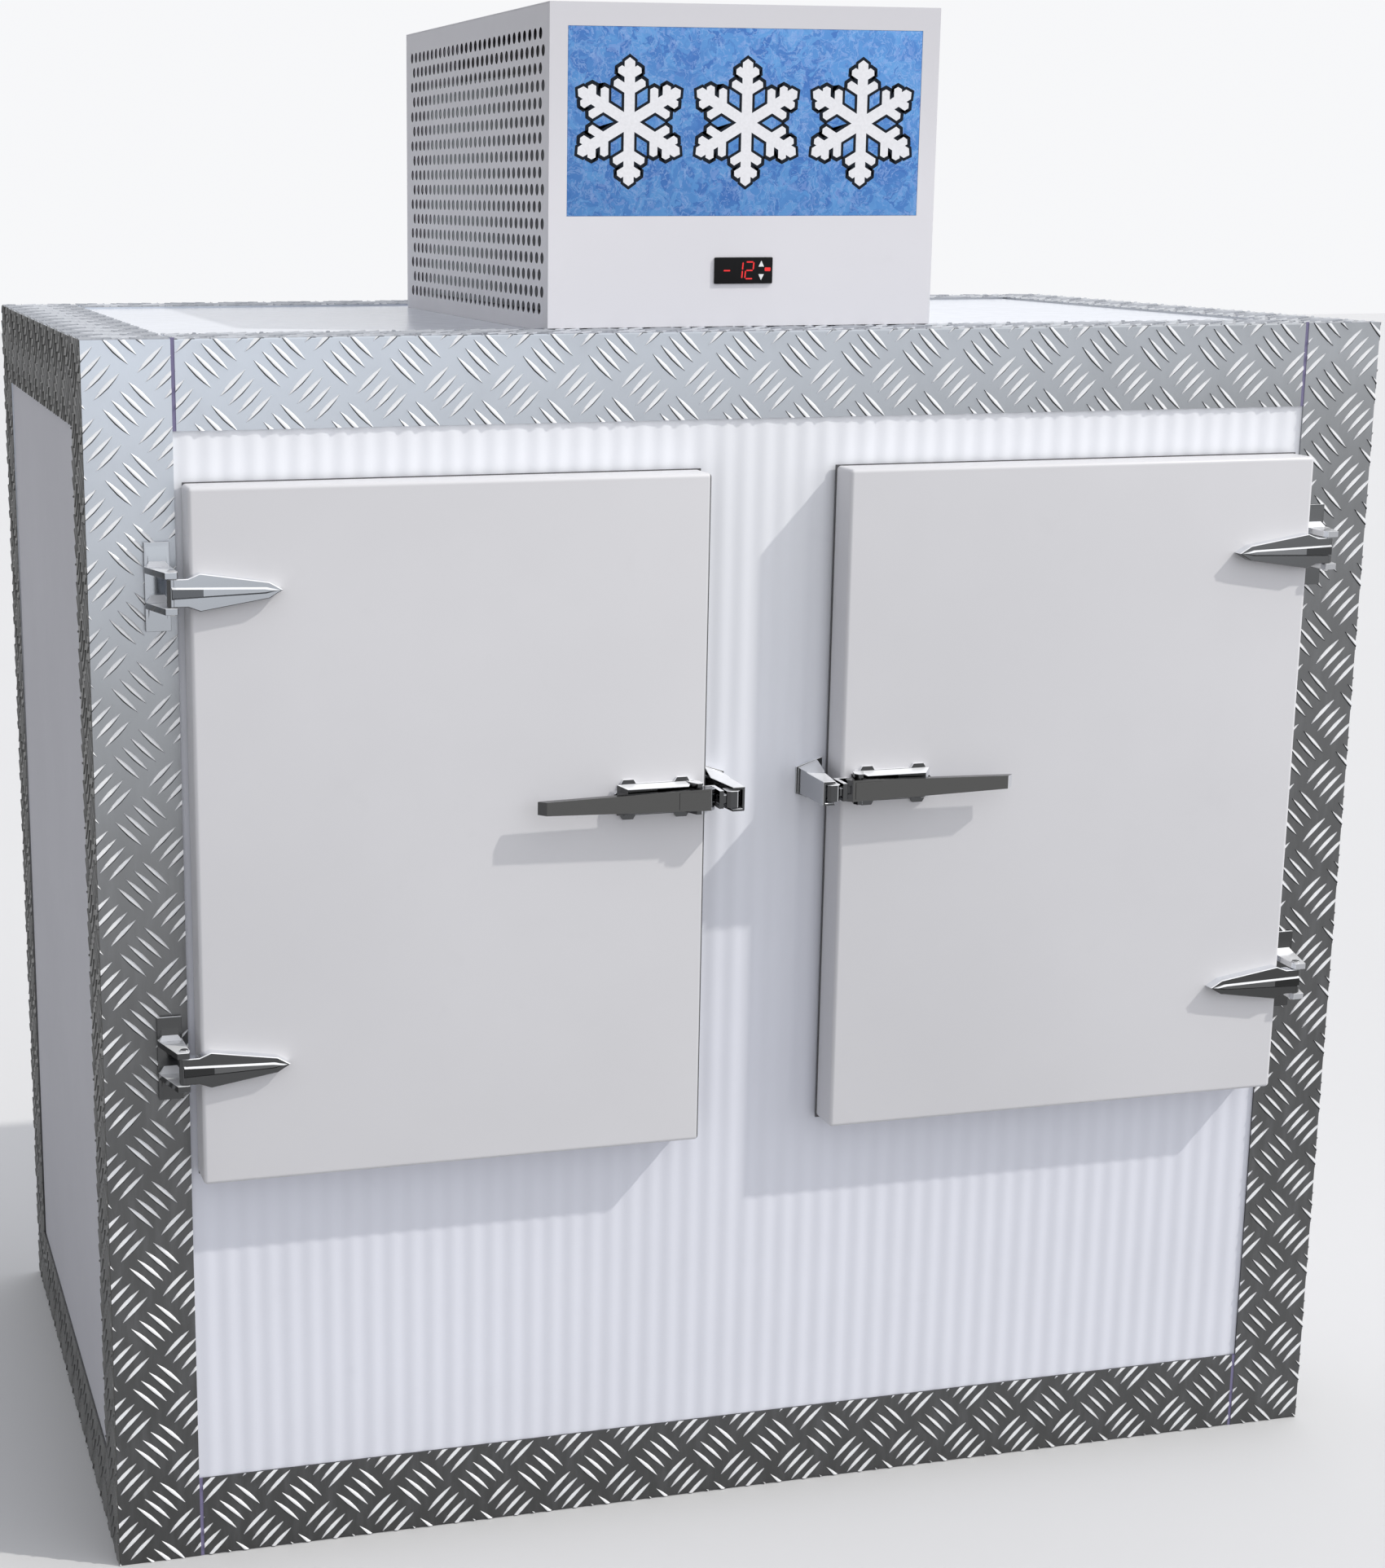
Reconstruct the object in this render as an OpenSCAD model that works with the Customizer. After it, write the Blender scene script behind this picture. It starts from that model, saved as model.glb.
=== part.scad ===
// Two-door ice merchandiser freezer: insulated panel box with tread plate edge trims,
// two overlapping side-hung doors and a drop-in refrigeration unit on the roof.
// Lengths are in millimetres. x is centred on the box, y = 0 is the front face, z = 0 the floor.

/* [Cabinet] */
// Overall width over the edge trims
box_w = 1650; // [1500:10:1900]
// Overall depth over the edge trims, without the door fittings
box_d = 970; // [900:10:1200]
// Height of the insulated box
box_h = 1508; // [1420:2:1800]
// Thickness of the insulated wall, floor and roof panels
panel_t = 80; // [60:5:90]
// Thickness of the ribbed front skin over its ribs
skin_t = 2; // [1.5:0.25:3]
// Depth of the ribs in the front skin
rib_depth = 1; // [0.5:0.1:1.2]
// Distance between neighbouring ribs in the front skin
rib_pitch = 26; // [20:1:40]
// Thickness of the inner floor deck
deck_t = 3; // [2:0.5:6]

/* [Edge trims] */
// Thickness of the tread plate trims over their raised bars
trim_t = 4; // [3:0.5:5]
// Width of the upright trims on the front and back faces
trim_w = 104; // [60:1:106]
// Width of the trims on the side faces
trim_side_w = 105; // [60:1:120]
// Height of the horizontal trims on the upright faces
trim_rail_h = 105; // [60:1:120]
// Width of the trims on the roof
trim_roof_w = 105; // [60:1:120]
// Width of the trims turned in under the floor
trim_under_w = 60; // [30:1:100]
// Width of the sealed seams between upright and horizontal trims
seam_w = 4.5; // [3:0.5:8]
// Depth of the seam filler below the trim surface
seam_recess = 2; // [1:0.5:2.5]

/* [Doors] */
// Distance from the outer edge of a door to the corner trim
door_side_gap = 8; // [4:0.5:20]
// Distance from the upper edge of the doors to the top trim
door_top_gap = 59; // [50:1:90]
// Height of one door
door_h = 833; // [700:1:1000]
// Distance from the middle of the box to the inner edge of a door
door_inner_x = 88; // [86:1:110]
// Distance of the door's front face before the box's front face
door_proud = 46.7; // [44:0.1:60]
// Distance of the door's inner face before the box's front face
door_back_gap = 2; // [1:0.5:3]
// Thickness of the door's steel pan
pan_t = 1; // [0.8:0.1:1.5]
// Rounding of the door's front edges
door_round = 5; // [2:0.5:8]
// How far the door overlaps the doorway on every side
door_overlap = 50; // [40:1:80]
// Width of the door gasket
gasket_w = 20; // [12:1:24]
// Distance from the doorway edge to the gasket
gasket_inset = 10; // [5:1:14]
// Free space between the gasket and the ribs of the front skin
gasket_gap = 0.3; // [0.2:0.1:0.5]
// Thickness of the plastic lining in the doorways
lining_t = 3; // [2:0.5:5]

/* [Hinges] */
// Distance from the upper edge of a door to its upper hinge
hinge_top_in = 117.2; // [90:0.1:160]
// Distance from the lower edge of a door to its lower hinge
hinge_low_in = 148.6; // [90:0.1:180]
// Distance of the hinge pins beyond the outer edge of the door
pivot_out = 21; // [18:0.5:26]
// Distance of the hinge pins before the box's front face
pivot_proud = 54; // [52:0.5:58]
// Diameter of the hinge pins
pin_d = 7; // [5:0.5:8]
// Radial running clearance of the hinge straps on their pins
pin_clear = 0.05; // [0.02:0.01:0.1]
// Radius of the hinge knuckle around its pin
knuckle_r = 6.5; // [6:0.1:7]
// Half height of the strap at its knuckle
strap_neck_half = 16.1; // [12:0.1:18]
// Half height of the strap at its shoulder
strap_wide_half = 21.6; // [18:0.1:24]
// Half height of the strap where its point begins
strap_point_half = 9.2; // [6:0.1:12]
// Distance from the pin to the end of the strap's neck
strap_neck_x = 16.7; // [12:0.1:18]
// Distance from the pin to the strap's shoulder
strap_wide_x = 30.8; // [26:0.1:40]
// Distance from the pin to the start of the strap's point
strap_point_x = 110.2; // [90:0.1:120]
// Distance from the pin to the strap's tip
strap_tip_x = 125.9; // [122:0.1:150]
// Thickness of the strap on the door
strap_t = 14.3; // [10:0.1:16]
// Height of the rib along the middle of the strap
strap_rib_t = 2.5; // [1:0.1:4]
// Half height of the strap's rib at the knuckle
strap_rib_half = 6; // [3:0.1:8]
// Width of the hinge plate on the trim
hinge_plate_w = 29.4; // [24:0.1:36]
// Height of the hinge plate on the trim
hinge_plate_h = 103; // [80:1:120]
// Thickness of the hinge plate on the trim
hinge_plate_t = 4; // [3:0.5:6]
// Distance from the pin to the outer edge of the hinge plate
hinge_plate_out = 24.3; // [20:0.1:28]
// Free height between the strap and each lug of its hinge plate
lug_gap = 0.6; // [0.3:0.1:1]
// Thickness of each lug of the hinge plate
lug_t = 7.5; // [5:0.5:9]
// Height of the sloped foot above each lug
lug_foot_h = 13; // [6:0.5:16]

/* [Latches] */
// Height of the latches above the middle of the doors
latch_rise = 27.5; // [-60:0.5:60]
// Length of the latch lever from the pin to its tip
lever_l = 203; // [150:1:230]
// Distance from the lever's pin to the inner edge of the door
lever_pin_in = 16; // [14:0.5:20]
// Distance from the lever's pin to the lever's short end
lever_back_l = 18.5; // [16:0.5:19]
// Distance of the lever's front face before the door's front face
lever_proud = 30; // [28:0.5:36]
// Thickness of the lever at its grip
lever_t = 9; // [6:0.5:11]
// Half height of the lever at its short end
lever_wide_half = 13.6; // [10:0.1:15]
// Half height of the lever at its tip
lever_tip_half = 8; // [6:0.1:10]
// Length of the chamfer at the lever's tip
lever_tip_cut = 9; // [4:0.5:9]
// Depth of the lever's pivot block behind its front face
lever_block_t = 19; // [16:0.5:19]
// Length of the lever's pivot block beyond the pin
lever_block_l = 20; // [14:0.5:24]
// Length of the slope between the lever's pivot block and its grip
lever_slope_l = 30; // [20:1:40]
// Chamfer at the front of the lever's short end
lever_round = 6; // [3:0.5:8]
// Chamfer at the back of the lever's short end
lever_back_cut = 9; // [7:0.5:11]
// Diameter of the lever's pin
lever_pin_d = 6; // [4:0.5:7]
// Depth of the lever's pin axis behind the lever's front face
lever_pin_depth = 13; // [12:0.5:13]
// Length of the raised pad on the lever's front face
pad_l = 37; // [20:1:44]
// Distance from the lever's pin to the pad's near end
pad_back = 9; // [6:0.5:12]
// Distance from the lever's long edges to the pad
pad_inset = 3; // [2:0.5:5]
// Height of the raised pad on the lever's front face
pad_t = 1; // [0.5:0.1:2]
// Length of the latch body along the door
latch_body_l = 104; // [80:1:120]
// Half height of the latch body
latch_body_half = 19.5; // [18:0.5:22]
// Thickness of the latch body's base plate
latch_base_t = 4; // [3:0.5:5]
// Height of the latch body's hump under the lever
latch_hump_t = 17; // [12:0.5:18]
// Length of each ear of the latch body
ear_l = 19; // [12:1:24]
// Height that each ear stands out of the latch body
ear_h = 5; // [3:0.5:8]
// Thickness of the guide nose that carries the bolt
nose_t = 5.5; // [4:0.5:5.5]
// Width of the latch bolt's head
bolt_w = 17; // [14:0.5:17]
// Half height of the latch bolt's head
bolt_half = 10.5; // [8:0.5:11]
// Depth of the latch bolt's head
bolt_depth = 20; // [14:0.5:24]
// Travel of the latch bolt into its guide
bolt_travel = 3.5; // [2:0.1:3.5]
// Free space between the bolt's head and the web of the strike
bolt_gap = 2.5; // [2:0.1:4]
// Half height of the bolt's square shank
shank_half = 5; // [3:0.5:6]
// Clearance of the bolt's shank in its guide
shank_clear = 0.3; // [0.2:0.05:0.5]
// Thickness of the strike's web and flanges
strike_t = 3; // [2:0.5:3.5]
// Half height of the strike at its front
strike_half = 15; // [14:0.5:18]
// Half height of the strike's foot on the front skin
strike_foot_half = 28; // [22:0.5:34]
// Width of the strike's foot
strike_foot_w = 34; // [28:0.5:36]
// Width of the strike's flanges at their front end
strike_lip_w = 15.5; // [10:0.5:20]
// Distance of the strike's front end before the box's front face
strike_proud = 81.5; // [76:0.5:90]

/* [Roof unit] */
// Width of the refrigeration unit
unit_w = 494; // [460:1:600]
// Depth of the refrigeration unit
unit_d = 721; // [700:1:760]
// Height of the refrigeration unit
unit_h = 376; // [364:1:420]
// Distance of the unit's front from the box's front face
unit_y = 84.4; // [60:0.1:100]
// Sideways place of the unit's middle on the roof
unit_x = -7; // [-60:1:60]
// Thickness of the unit's casing sheets
casing_t = 1.2; // [1:0.1:1.5]
// Depth of the turned edges of the casing sheets
casing_edge = 14; // [10:1:20]
// Clearance between neighbouring casing sheets
casing_gap = 0.2; // [0.1:0.1:0.5]
// Thickness of the unit's insulated base
base_t = 16; // [12:1:18]
// Diameter of the holes in the side grilles
hole_d = 13.5; // [10:0.5:16]
// Distance between neighbouring holes in a row
hole_pitch = 23.15; // [22:0.05:30]
// Distance between neighbouring rows of holes
hole_row = 20; // [18:0.5:26]
// Distance from the unit's back to the first hole
hole_first_y = 35; // [30:1:60]
// Distance from the unit's top to the first row of holes
hole_first_z = 34; // [30:1:60]
// Holes in a row of the side grille
hole_count = 29; // [10:1:29]
// Rows of holes in the side grille
hole_rows = 17; // [6:1:17]
// Diameter of the hole for the power cord's gland
gland_d = 20; // [16:1:25]
// Distance from the unit's right side to the gland
gland_side = 70; // [40:1:120]
// Height of the gland above the roof trims
gland_up = 50; // [40:1:80]

/* [Sign and controller] */
// Distance from the sides of the unit to the lit sign panel
sign_side = 22.5; // [18:0.5:60]
// Distance from the top of the unit to the lit sign panel
sign_top = 27; // [22:1:60]
// Height of the sign's lower edge above the roof trims
sign_z = 131; // [120:1:134]
// Thickness of the sign panel behind the casing sheet
sign_t = 3; // [2:0.5:5]
// Overlap of the sign panel behind its opening
sign_lap = 6; // [4:0.5:8]
// Depth of the sign's light box
lamp_depth = 25; // [20:1:26]
// Width of the temperature controller's bezel
ctrl_w = 74.6; // [70:0.2:78]
// Height of the temperature controller's bezel
ctrl_h = 31.4; // [28:0.2:34]
// Height of the controller's middle above the roof trims
ctrl_z = 66.5; // [50:0.5:80]
// Distance from the unit's left side to the controller's middle
ctrl_x = 246.9; // [200:0.1:300]
// Thickness of the controller's bezel before the casing sheet
ctrl_bezel_t = 3; // [2:0.5:5]
// Depth of the controller's body behind the casing sheet
ctrl_depth = 58; // [40:1:70]
// Width of the controller's up and down keys
key_w = 7; // [5:0.5:8]
// Height that the keys stand out of the bezel
key_proud = 0.8; // [0.5:0.1:1.2]
// Travel of the keys
key_travel = 0.6; // [0.3:0.1:0.6]

/* [Cooling parts] */
// Thickness of the condenser coil
coil_t = 36; // [24:1:44]
// Length of the condenser coil
coil_l = 560; // [400:5:580]
// Height of the condenser coil
coil_h = 280; // [200:5:290]
// Distance from the unit's front to the condenser coil
coil_y = 34; // [26:1:60]
// Space between the side grille and the condenser coil
coil_gap = 10; // [6:1:16]
// Depth of the fan shroud behind the condenser coil
shroud_depth = 34; // [24:1:50]
// Diameter of the condenser fan
fan_d = 240; // [180:5:250]
// Radial clearance around the condenser fan
fan_clear = 5; // [3:0.5:8]
// Diameter of the fan hubs
hub_d = 60; // [50:1:70]
// Depth of the fan blades along the shaft
blade_depth = 24; // [16:1:30]
// Diameter of the fan motors
motor_d = 84; // [70:1:90]
// Length of the fan motors
motor_l = 62; // [50:1:70]
// Diameter of the compressor shell
comp_d = 170; // [140:2:180]
// Height of the straight part of the compressor shell
comp_h = 120; // [80:5:130]
// Height of the compressor's rubber feet
comp_foot_h = 11; // [8:1:16]
// Height of the pipe stubs above the foot of the compressor shell
comp_stub_up = 70; // [40:1:90]
// Distance from the casing's side to the compressor
comp_side = 22; // [16:1:40]
// Distance from the unit's back to the compressor
comp_back = 60; // [40:1:80]
// Width of the electrical box
elec_w = 150; // [100:5:170]
// Depth of the electrical box
elec_d = 130; // [80:5:150]
// Height of the electrical box
elec_h = 90; // [60:5:110]
// Distance from the casing's side to the electrical box
elec_side = 20; // [10:1:40]
// Distance from the unit's front to the electrical box
elec_y = 100; // [80:5:120]
// Diameter of the refrigerant pipes
pipe_d = 10; // [8:0.5:12]
// Width of the evaporator housing
evap_w = 396; // [340:2:420]
// Depth of the evaporator housing
evap_d = 480; // [440:2:520]
// Distance that the evaporator housing hangs below the roof panel
evap_drop = 180; // [150:5:200]
// Thickness of the evaporator housing's sheet
evap_t = 2; // [1:0.5:3]
// Diameter of the evaporator fan
evap_fan_d = 200; // [160:5:210]
// Distance from the front of the housing to the evaporator fan
evap_fan_in = 30; // [20:1:40]
// Distance from the evaporator fan to the evaporator coil
evap_coil_gap = 24; // [10:1:40]
// Distance from the sides of the housing to the evaporator coil
evap_coil_side = 20; // [4:1:40]
// Distance from the back of the housing to the evaporator coil
evap_coil_back = 40; // [20:1:60]
// Height of each outlet slot in the back of the housing
evap_slot_h = 8; // [4:0.5:10]
// Distance between neighbouring outlet slots
evap_slot_step = 16; // [12:0.5:18]
// Outlet slots in the back of the housing
evap_slots = 8; // [4:1:8]
// Distance from the sides of the housing to its outlet slots
evap_slot_side = 40; // [20:1:80]
// Height of the lowest outlet slot above the bottom of the housing
evap_slot_low = 24; // [10:1:30]
// Depth of the drip tray
tray_h = 18; // [12:1:30]

/* [Hidden] */
$fn = 48;

half_w = box_w / 2;
in_x = half_w - trim_t;
in_back = box_d - trim_t;
foam_y = trim_t + skin_t;
wall_in_x = in_x - panel_t;
floor_top = trim_t + panel_t;
roof_top = box_h - trim_t;
roof_low = roof_top - panel_t;
front_in_y = trim_t + panel_t;
back_in_y = in_back - panel_t;

rail_x = half_w - trim_w - seam_w;

door_outer_x = half_w - trim_w - door_side_gap;
door_w = door_outer_x - door_inner_x;
door_top = box_h - trim_rail_h - door_top_gap;
door_z = door_top - door_h;
way_x0 = door_inner_x + door_overlap;
way_x1 = door_outer_x - door_overlap;
way_z0 = door_z + door_overlap;
way_z1 = door_top - door_overlap;

pivot_x = door_outer_x + pivot_out;
hinge_heights = [door_top - hinge_top_in, door_z + hinge_low_in];
lug_in = strap_neck_half + lug_gap;
lug_out = lug_in + lug_t;
lug_front = pivot_proud + knuckle_r + 2;
pin_half = lug_out + 2;

latch_z = door_z + door_h / 2 + latch_rise;
lever_front = door_proud + lever_proud;
lever_pin_x = door_inner_x + lever_pin_in;
lever_pin_y = lever_front - lever_pin_depth;
lever_end_x = lever_pin_x - lever_back_l;
lug_clear = 0.5;
latch_lug_t = 5;
lug_reach = 6;
latch_body_x = lever_pin_x - 3;
nose_x1 = lever_end_x - 3;
nose_x0 = nose_x1 - nose_t;
bolt_x1 = nose_x0 - bolt_travel - 0.3;
bolt_x0 = bolt_x1 - bolt_w;
bolt_front = strike_proud + 1.5;
bolt_mid = bolt_front - bolt_depth / 2;
web_x1 = bolt_x0 - bolt_gap;
web_x0 = web_x1 - strike_t;

unit_x0 = unit_x - unit_w / 2;
unit_x1 = unit_x + unit_w / 2;
unit_back = unit_y + unit_d;
unit_top = box_h + unit_h;
inner_x0 = unit_x0 + casing_t;
inner_x1 = unit_x1 - casing_t;
inner_y0 = unit_y + casing_t;
inner_y1 = unit_back - casing_t;
deck_z = box_h + base_t;
sign_w = unit_w - 2 * sign_side;
sign_h = unit_h - sign_z - sign_top;
sign_z0 = box_h + sign_z;
ctrl_mid_x = unit_x0 + ctrl_x;
ctrl_mid_z = box_h + ctrl_z;
cutout_w = ctrl_w - 4;
cutout_h = ctrl_h - 3;
key_mid_x = ctrl_mid_x + 22;
key_step = 8;

coil_x0 = inner_x0 + coil_gap;
coil_x1 = coil_x0 + coil_t;
coil_y0 = unit_y + coil_y;
coil_y1 = coil_y0 + coil_l;
coil_z0 = deck_z + 4;
shroud_x1 = coil_x1 + shroud_depth;
fan_mid_y = coil_y0 + coil_l / 2;
fan_mid_z = coil_z0 + coil_h / 2;
fan_x = shroud_x1 - blade_depth / 2;
motor_x = shroud_x1 + 6;
comp_foot_t = 3;
comp_x = unit_x1 - casing_t - comp_side - comp_d / 2;
comp_y = unit_back - comp_back - comp_d / 2;
comp_foot_z = deck_z + comp_foot_h + comp_foot_t;
stub_x = [-30, 30];
stub_z = comp_foot_z + comp_stub_up;

gland_x = unit_x1 - gland_side;
gland_z = box_h + gland_up;

evap_mid_y = unit_y + unit_d / 2;
evap_y0 = evap_mid_y - evap_d / 2;
evap_y1 = evap_mid_y + evap_d / 2;
evap_x0 = unit_x - evap_w / 2;
evap_x1 = unit_x + evap_w / 2;
evap_low = roof_low - evap_drop;
evap_fan_y = evap_y0 + evap_fan_in + evap_fan_d / 2;
evap_fan_z = evap_low + 22;
evap_coil_y0 = evap_fan_y + evap_fan_d / 2 + evap_coil_gap;
evap_coil_y1 = evap_y1 - evap_coil_back;
evap_top = roof_low - 4;

WHITE = [0.93, 0.94, 0.96];
GREY = [0.82, 0.82, 0.84];
TREAD = [0.62, 0.65, 0.69];
CHROME = [0.75, 0.76, 0.78];
DARK = [0.16, 0.17, 0.18];
COPPER = [0.78, 0.46, 0.3];

// Moves a piece from the front face frame to the frame centred on the footprint
module placed() {
    translate([0, -box_d / 2, 0]) children();
}

// Draws a right-hand piece, or its mirror image on the left
module handed(side) {
    placed() mirror([side < 0 ? 1 : 0, 0, 0]) children();
}

// A box between two opposite corners
module block(low, high) {
    translate(low) cube(high - low);
}

// A horizontal outline of x and y points, raised from z0 to z1
module raised(z0, z1) {
    translate([0, 0, z0]) linear_extrude(z1 - z0) children();
}

// An upright outline of x and z points, from depth y0 to y1
module facing(y0, y1) {
    translate([0, y1, 0]) rotate([90, 0, 0]) linear_extrude(y1 - y0) children();
}

// Four rails around an opening in the front
module ring_xz(x0, x1, z0, z1, width, y0, y1) {
    facing(y0, y1) difference() {
        translate([x0 - width, z0 - width]) square([x1 - x0 + 2 * width, z1 - z0 + 2 * width]);
        translate([x0, z0]) square([x1 - x0, z1 - z0]);
    }
}

module doorways(y0, y1) {
    for (side = [-1, 1]) mirror([side < 0 ? 1 : 0, 0, 0]) {
        block([way_x0, y0, way_z0], [way_x1, y1, way_z1]);
    }
}

// ---- insulated box ----

module floor_panel() {
    under_x = half_w - trim_w;
    color(WHITE) placed() union() {
        block([-in_x, foam_y, trim_t], [in_x, in_back, floor_top]);
        block([-under_x, trim_under_w, 0], [under_x, box_d - trim_under_w, trim_t]);
    }
}

module roof_panel() {
    color(WHITE) placed() difference() {
        block([-in_x, foam_y, roof_low], [in_x, in_back, roof_top]);
        block([evap_x0, evap_y0, roof_low - 1], [evap_x1, evap_y1, roof_top + 1]);
    }
}

module side_panels() {
    color(WHITE) for (side = [-1, 1]) handed(side) {
        block([wall_in_x, foam_y, floor_top], [in_x, in_back, roof_low]);
    }
}

module back_panel() {
    color(WHITE) placed() block([-wall_in_x, back_in_y, floor_top], [wall_in_x, in_back, roof_low]);
}

module front_panel() {
    color(WHITE) placed() difference() {
        block([-wall_in_x, foam_y, floor_top], [wall_in_x, front_in_y, roof_low]);
        doorways(foam_y - 1, front_in_y + 1);
    }
}

module front_skin() {
    count = floor(2 * in_x / rib_pitch);
    first = -count * rib_pitch / 2;
    flank = rib_depth;
    rib = rib_pitch / 2;
    ridge = [for (i = [0:count - 1]) each [
        [first + i * rib_pitch, trim_t + rib_depth],
        [first + i * rib_pitch + flank, trim_t],
        [first + i * rib_pitch + rib, trim_t],
        [first + i * rib_pitch + rib + flank, trim_t + rib_depth]
    ]];
    edge = [[in_x, trim_t + rib_depth], [in_x, foam_y], [-in_x, foam_y], [-in_x, trim_t + rib_depth]];
    color(WHITE) placed() difference() {
        raised(trim_t, roof_top) polygon(concat(ridge, edge));
        doorways(trim_t - 1, foam_y + 1);
    }
}

module doorway_linings() {
    color(GREY) for (side = [-1, 1]) handed(side) {
        ring_xz(way_x0 + lining_t, way_x1 - lining_t, way_z0 + lining_t, way_z1 - lining_t,
            lining_t, foam_y, front_in_y);
    }
}

module floor_deck() {
    color(TREAD) placed() {
        block([-wall_in_x, front_in_y, floor_top], [wall_in_x, back_in_y, floor_top + deck_t]);
    }
}

// ---- tread plate trims ----

module corner_angle(low_y) {
    raised(0, box_h) polygon([
        [half_w, low_y], [half_w, low_y + trim_side_w], [half_w - trim_t, low_y + trim_side_w],
        [half_w - trim_t, low_y + trim_t], [half_w - trim_w, low_y + trim_t], [half_w - trim_w, low_y]
    ]);
}

module corner_trim_front_left() {
    color(TREAD) handed(-1) corner_angle(0);
}

module corner_trim_front_right() {
    color(TREAD) handed(1) corner_angle(0);
}

module corner_trims_back() {
    color(TREAD) for (side = [-1, 1]) handed(side) {
        translate([0, box_d, 0]) mirror([0, 1, 0]) corner_angle(0);
    }
}

module rail(height, width) {
    block([-rail_x, 0, 0], [rail_x, trim_t, height]);
    block([-rail_x, trim_t, 0], [rail_x, width, trim_t]);
}

module top_trim_front() {
    color(TREAD) placed() translate([0, 0, box_h]) mirror([0, 0, 1]) rail(trim_rail_h, trim_roof_w);
}

module base_trim_front() {
    color(TREAD) placed() rail(trim_rail_h, trim_under_w);
}

module back_rail_trims() {
    color(TREAD) placed() translate([0, box_d, 0]) mirror([0, 1, 0]) {
        rail(trim_rail_h, trim_under_w);
        translate([0, 0, box_h]) mirror([0, 0, 1]) rail(trim_rail_h, trim_roof_w);
    }
}

// One trim along a side, with its flat leg at z = 0 and its upright leg above it
module side_rail(flat_w) {
    block([half_w - trim_t, trim_side_w, 0], [half_w, box_d - trim_side_w, trim_rail_h]);
    block([half_w - flat_w, trim_t, 0], [half_w - trim_t, box_d - trim_t, trim_t]);
}

module side_rail_trims() {
    color(TREAD) for (side = [-1, 1]) handed(side) {
        side_rail(trim_w);
        translate([0, 0, box_h]) mirror([0, 0, 1]) side_rail(trim_w);
    }
}

module seam_strips() {
    color([0.47, 0.45, 0.62]) for (side = [-1, 1], z0 = [0, box_h - trim_rail_h]) handed(side) {
        block([rail_x, seam_recess, z0], [rail_x + seam_w, trim_t, z0 + trim_rail_h]);
    }
}

// ---- hinges ----

module lug() {
    plate_out = pivot_x + hinge_plate_out;
    plate_in = plate_out - hinge_plate_w;
    difference() {
        union() {
            raised(lug_in, lug_out) polygon([
                [plate_in, -hinge_plate_t], [plate_out, -hinge_plate_t],
                [plate_out, -hinge_plate_t - 4], [pivot_x + knuckle_r + 3, -lug_front],
                [pivot_x - knuckle_r + 2, -lug_front], [pivot_x - knuckle_r, -pivot_proud]
            ]);
            translate([plate_in + 4, 0, 0]) rotate([90, 0, 90]) linear_extrude(hinge_plate_w - 8) polygon([
                [-hinge_plate_t, lug_out], [-hinge_plate_t, lug_out + lug_foot_h],
                [-hinge_plate_t - 4, lug_out]
            ]);
            translate([pivot_x, -pivot_proud, lug_in]) cylinder(d = 2 * knuckle_r, h = lug_t);
        }
        translate([pivot_x, -pivot_proud, lug_in - 1]) cylinder(d = pin_d + 2 * pin_clear, h = lug_t + 2);
    }
}

module hinge_frames() {
    plate_out = pivot_x + hinge_plate_out;
    for (z = hinge_heights) translate([0, 0, z]) {
        block([plate_out - hinge_plate_w, -hinge_plate_t, -hinge_plate_h / 2],
            [plate_out, 0, hinge_plate_h / 2]);
        lug();
        mirror([0, 0, 1]) lug();
    }
}

module left_hinge_frames() {
    color(CHROME) handed(-1) hinge_frames();
}

module right_hinge_frames() {
    color(CHROME) handed(1) hinge_frames();
}

module hinge_pins() {
    color(CHROME) for (side = [-1, 1], z = hinge_heights) handed(side) translate([pivot_x, -pivot_proud, z]) {
        translate([0, 0, -pin_half]) cylinder(d = pin_d, h = 2 * pin_half);
        translate([0, 0, lug_out]) cylinder(d = pin_d + 3, h = 2);
    }
}

module strap() {
    back = -door_proud;
    front = back - strap_t;
    difference() {
        union() {
            facing(front, back) polygon([
                [pivot_x, strap_neck_half], [pivot_x - strap_neck_x, strap_neck_half],
                [pivot_x - strap_wide_x, strap_wide_half], [pivot_x - strap_point_x, strap_point_half],
                [pivot_x - strap_tip_x, 0], [pivot_x - strap_point_x, -strap_point_half],
                [pivot_x - strap_wide_x, -strap_wide_half], [pivot_x - strap_neck_x, -strap_neck_half],
                [pivot_x, -strap_neck_half]
            ]);
            facing(front - strap_rib_t, front) polygon([
                [pivot_x, strap_rib_half], [pivot_x - strap_point_x, strap_rib_half / 3],
                [pivot_x - strap_tip_x + 2, 0], [pivot_x - strap_point_x, -strap_rib_half / 3],
                [pivot_x, -strap_rib_half]
            ]);
            translate([pivot_x, -pivot_proud, -strap_neck_half]) {
                cylinder(r = knuckle_r, h = 2 * strap_neck_half);
            }
        }
        translate([pivot_x, -pivot_proud, -strap_neck_half - 1]) {
            cylinder(d = pin_d + 2 * pin_clear, h = 2 * strap_neck_half + 2);
        }
    }
}

module left_hinge_straps() {
    color(CHROME) handed(-1) for (z = hinge_heights) translate([0, 0, z]) strap();
}

module right_hinge_straps() {
    color(CHROME) handed(1) for (z = hinge_heights) translate([0, 0, z]) strap();
}

// ---- doors ----

// A block whose two front edges along its length are rounded
module soft_profile(width, depth, round) {
    union() {
        translate([0, round]) square([width, depth - round]);
        translate([round, 0]) square([width - 2 * round, round]);
        translate([round, round]) circle(r = round);
        translate([width - round, round]) circle(r = round);
    }
}

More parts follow.
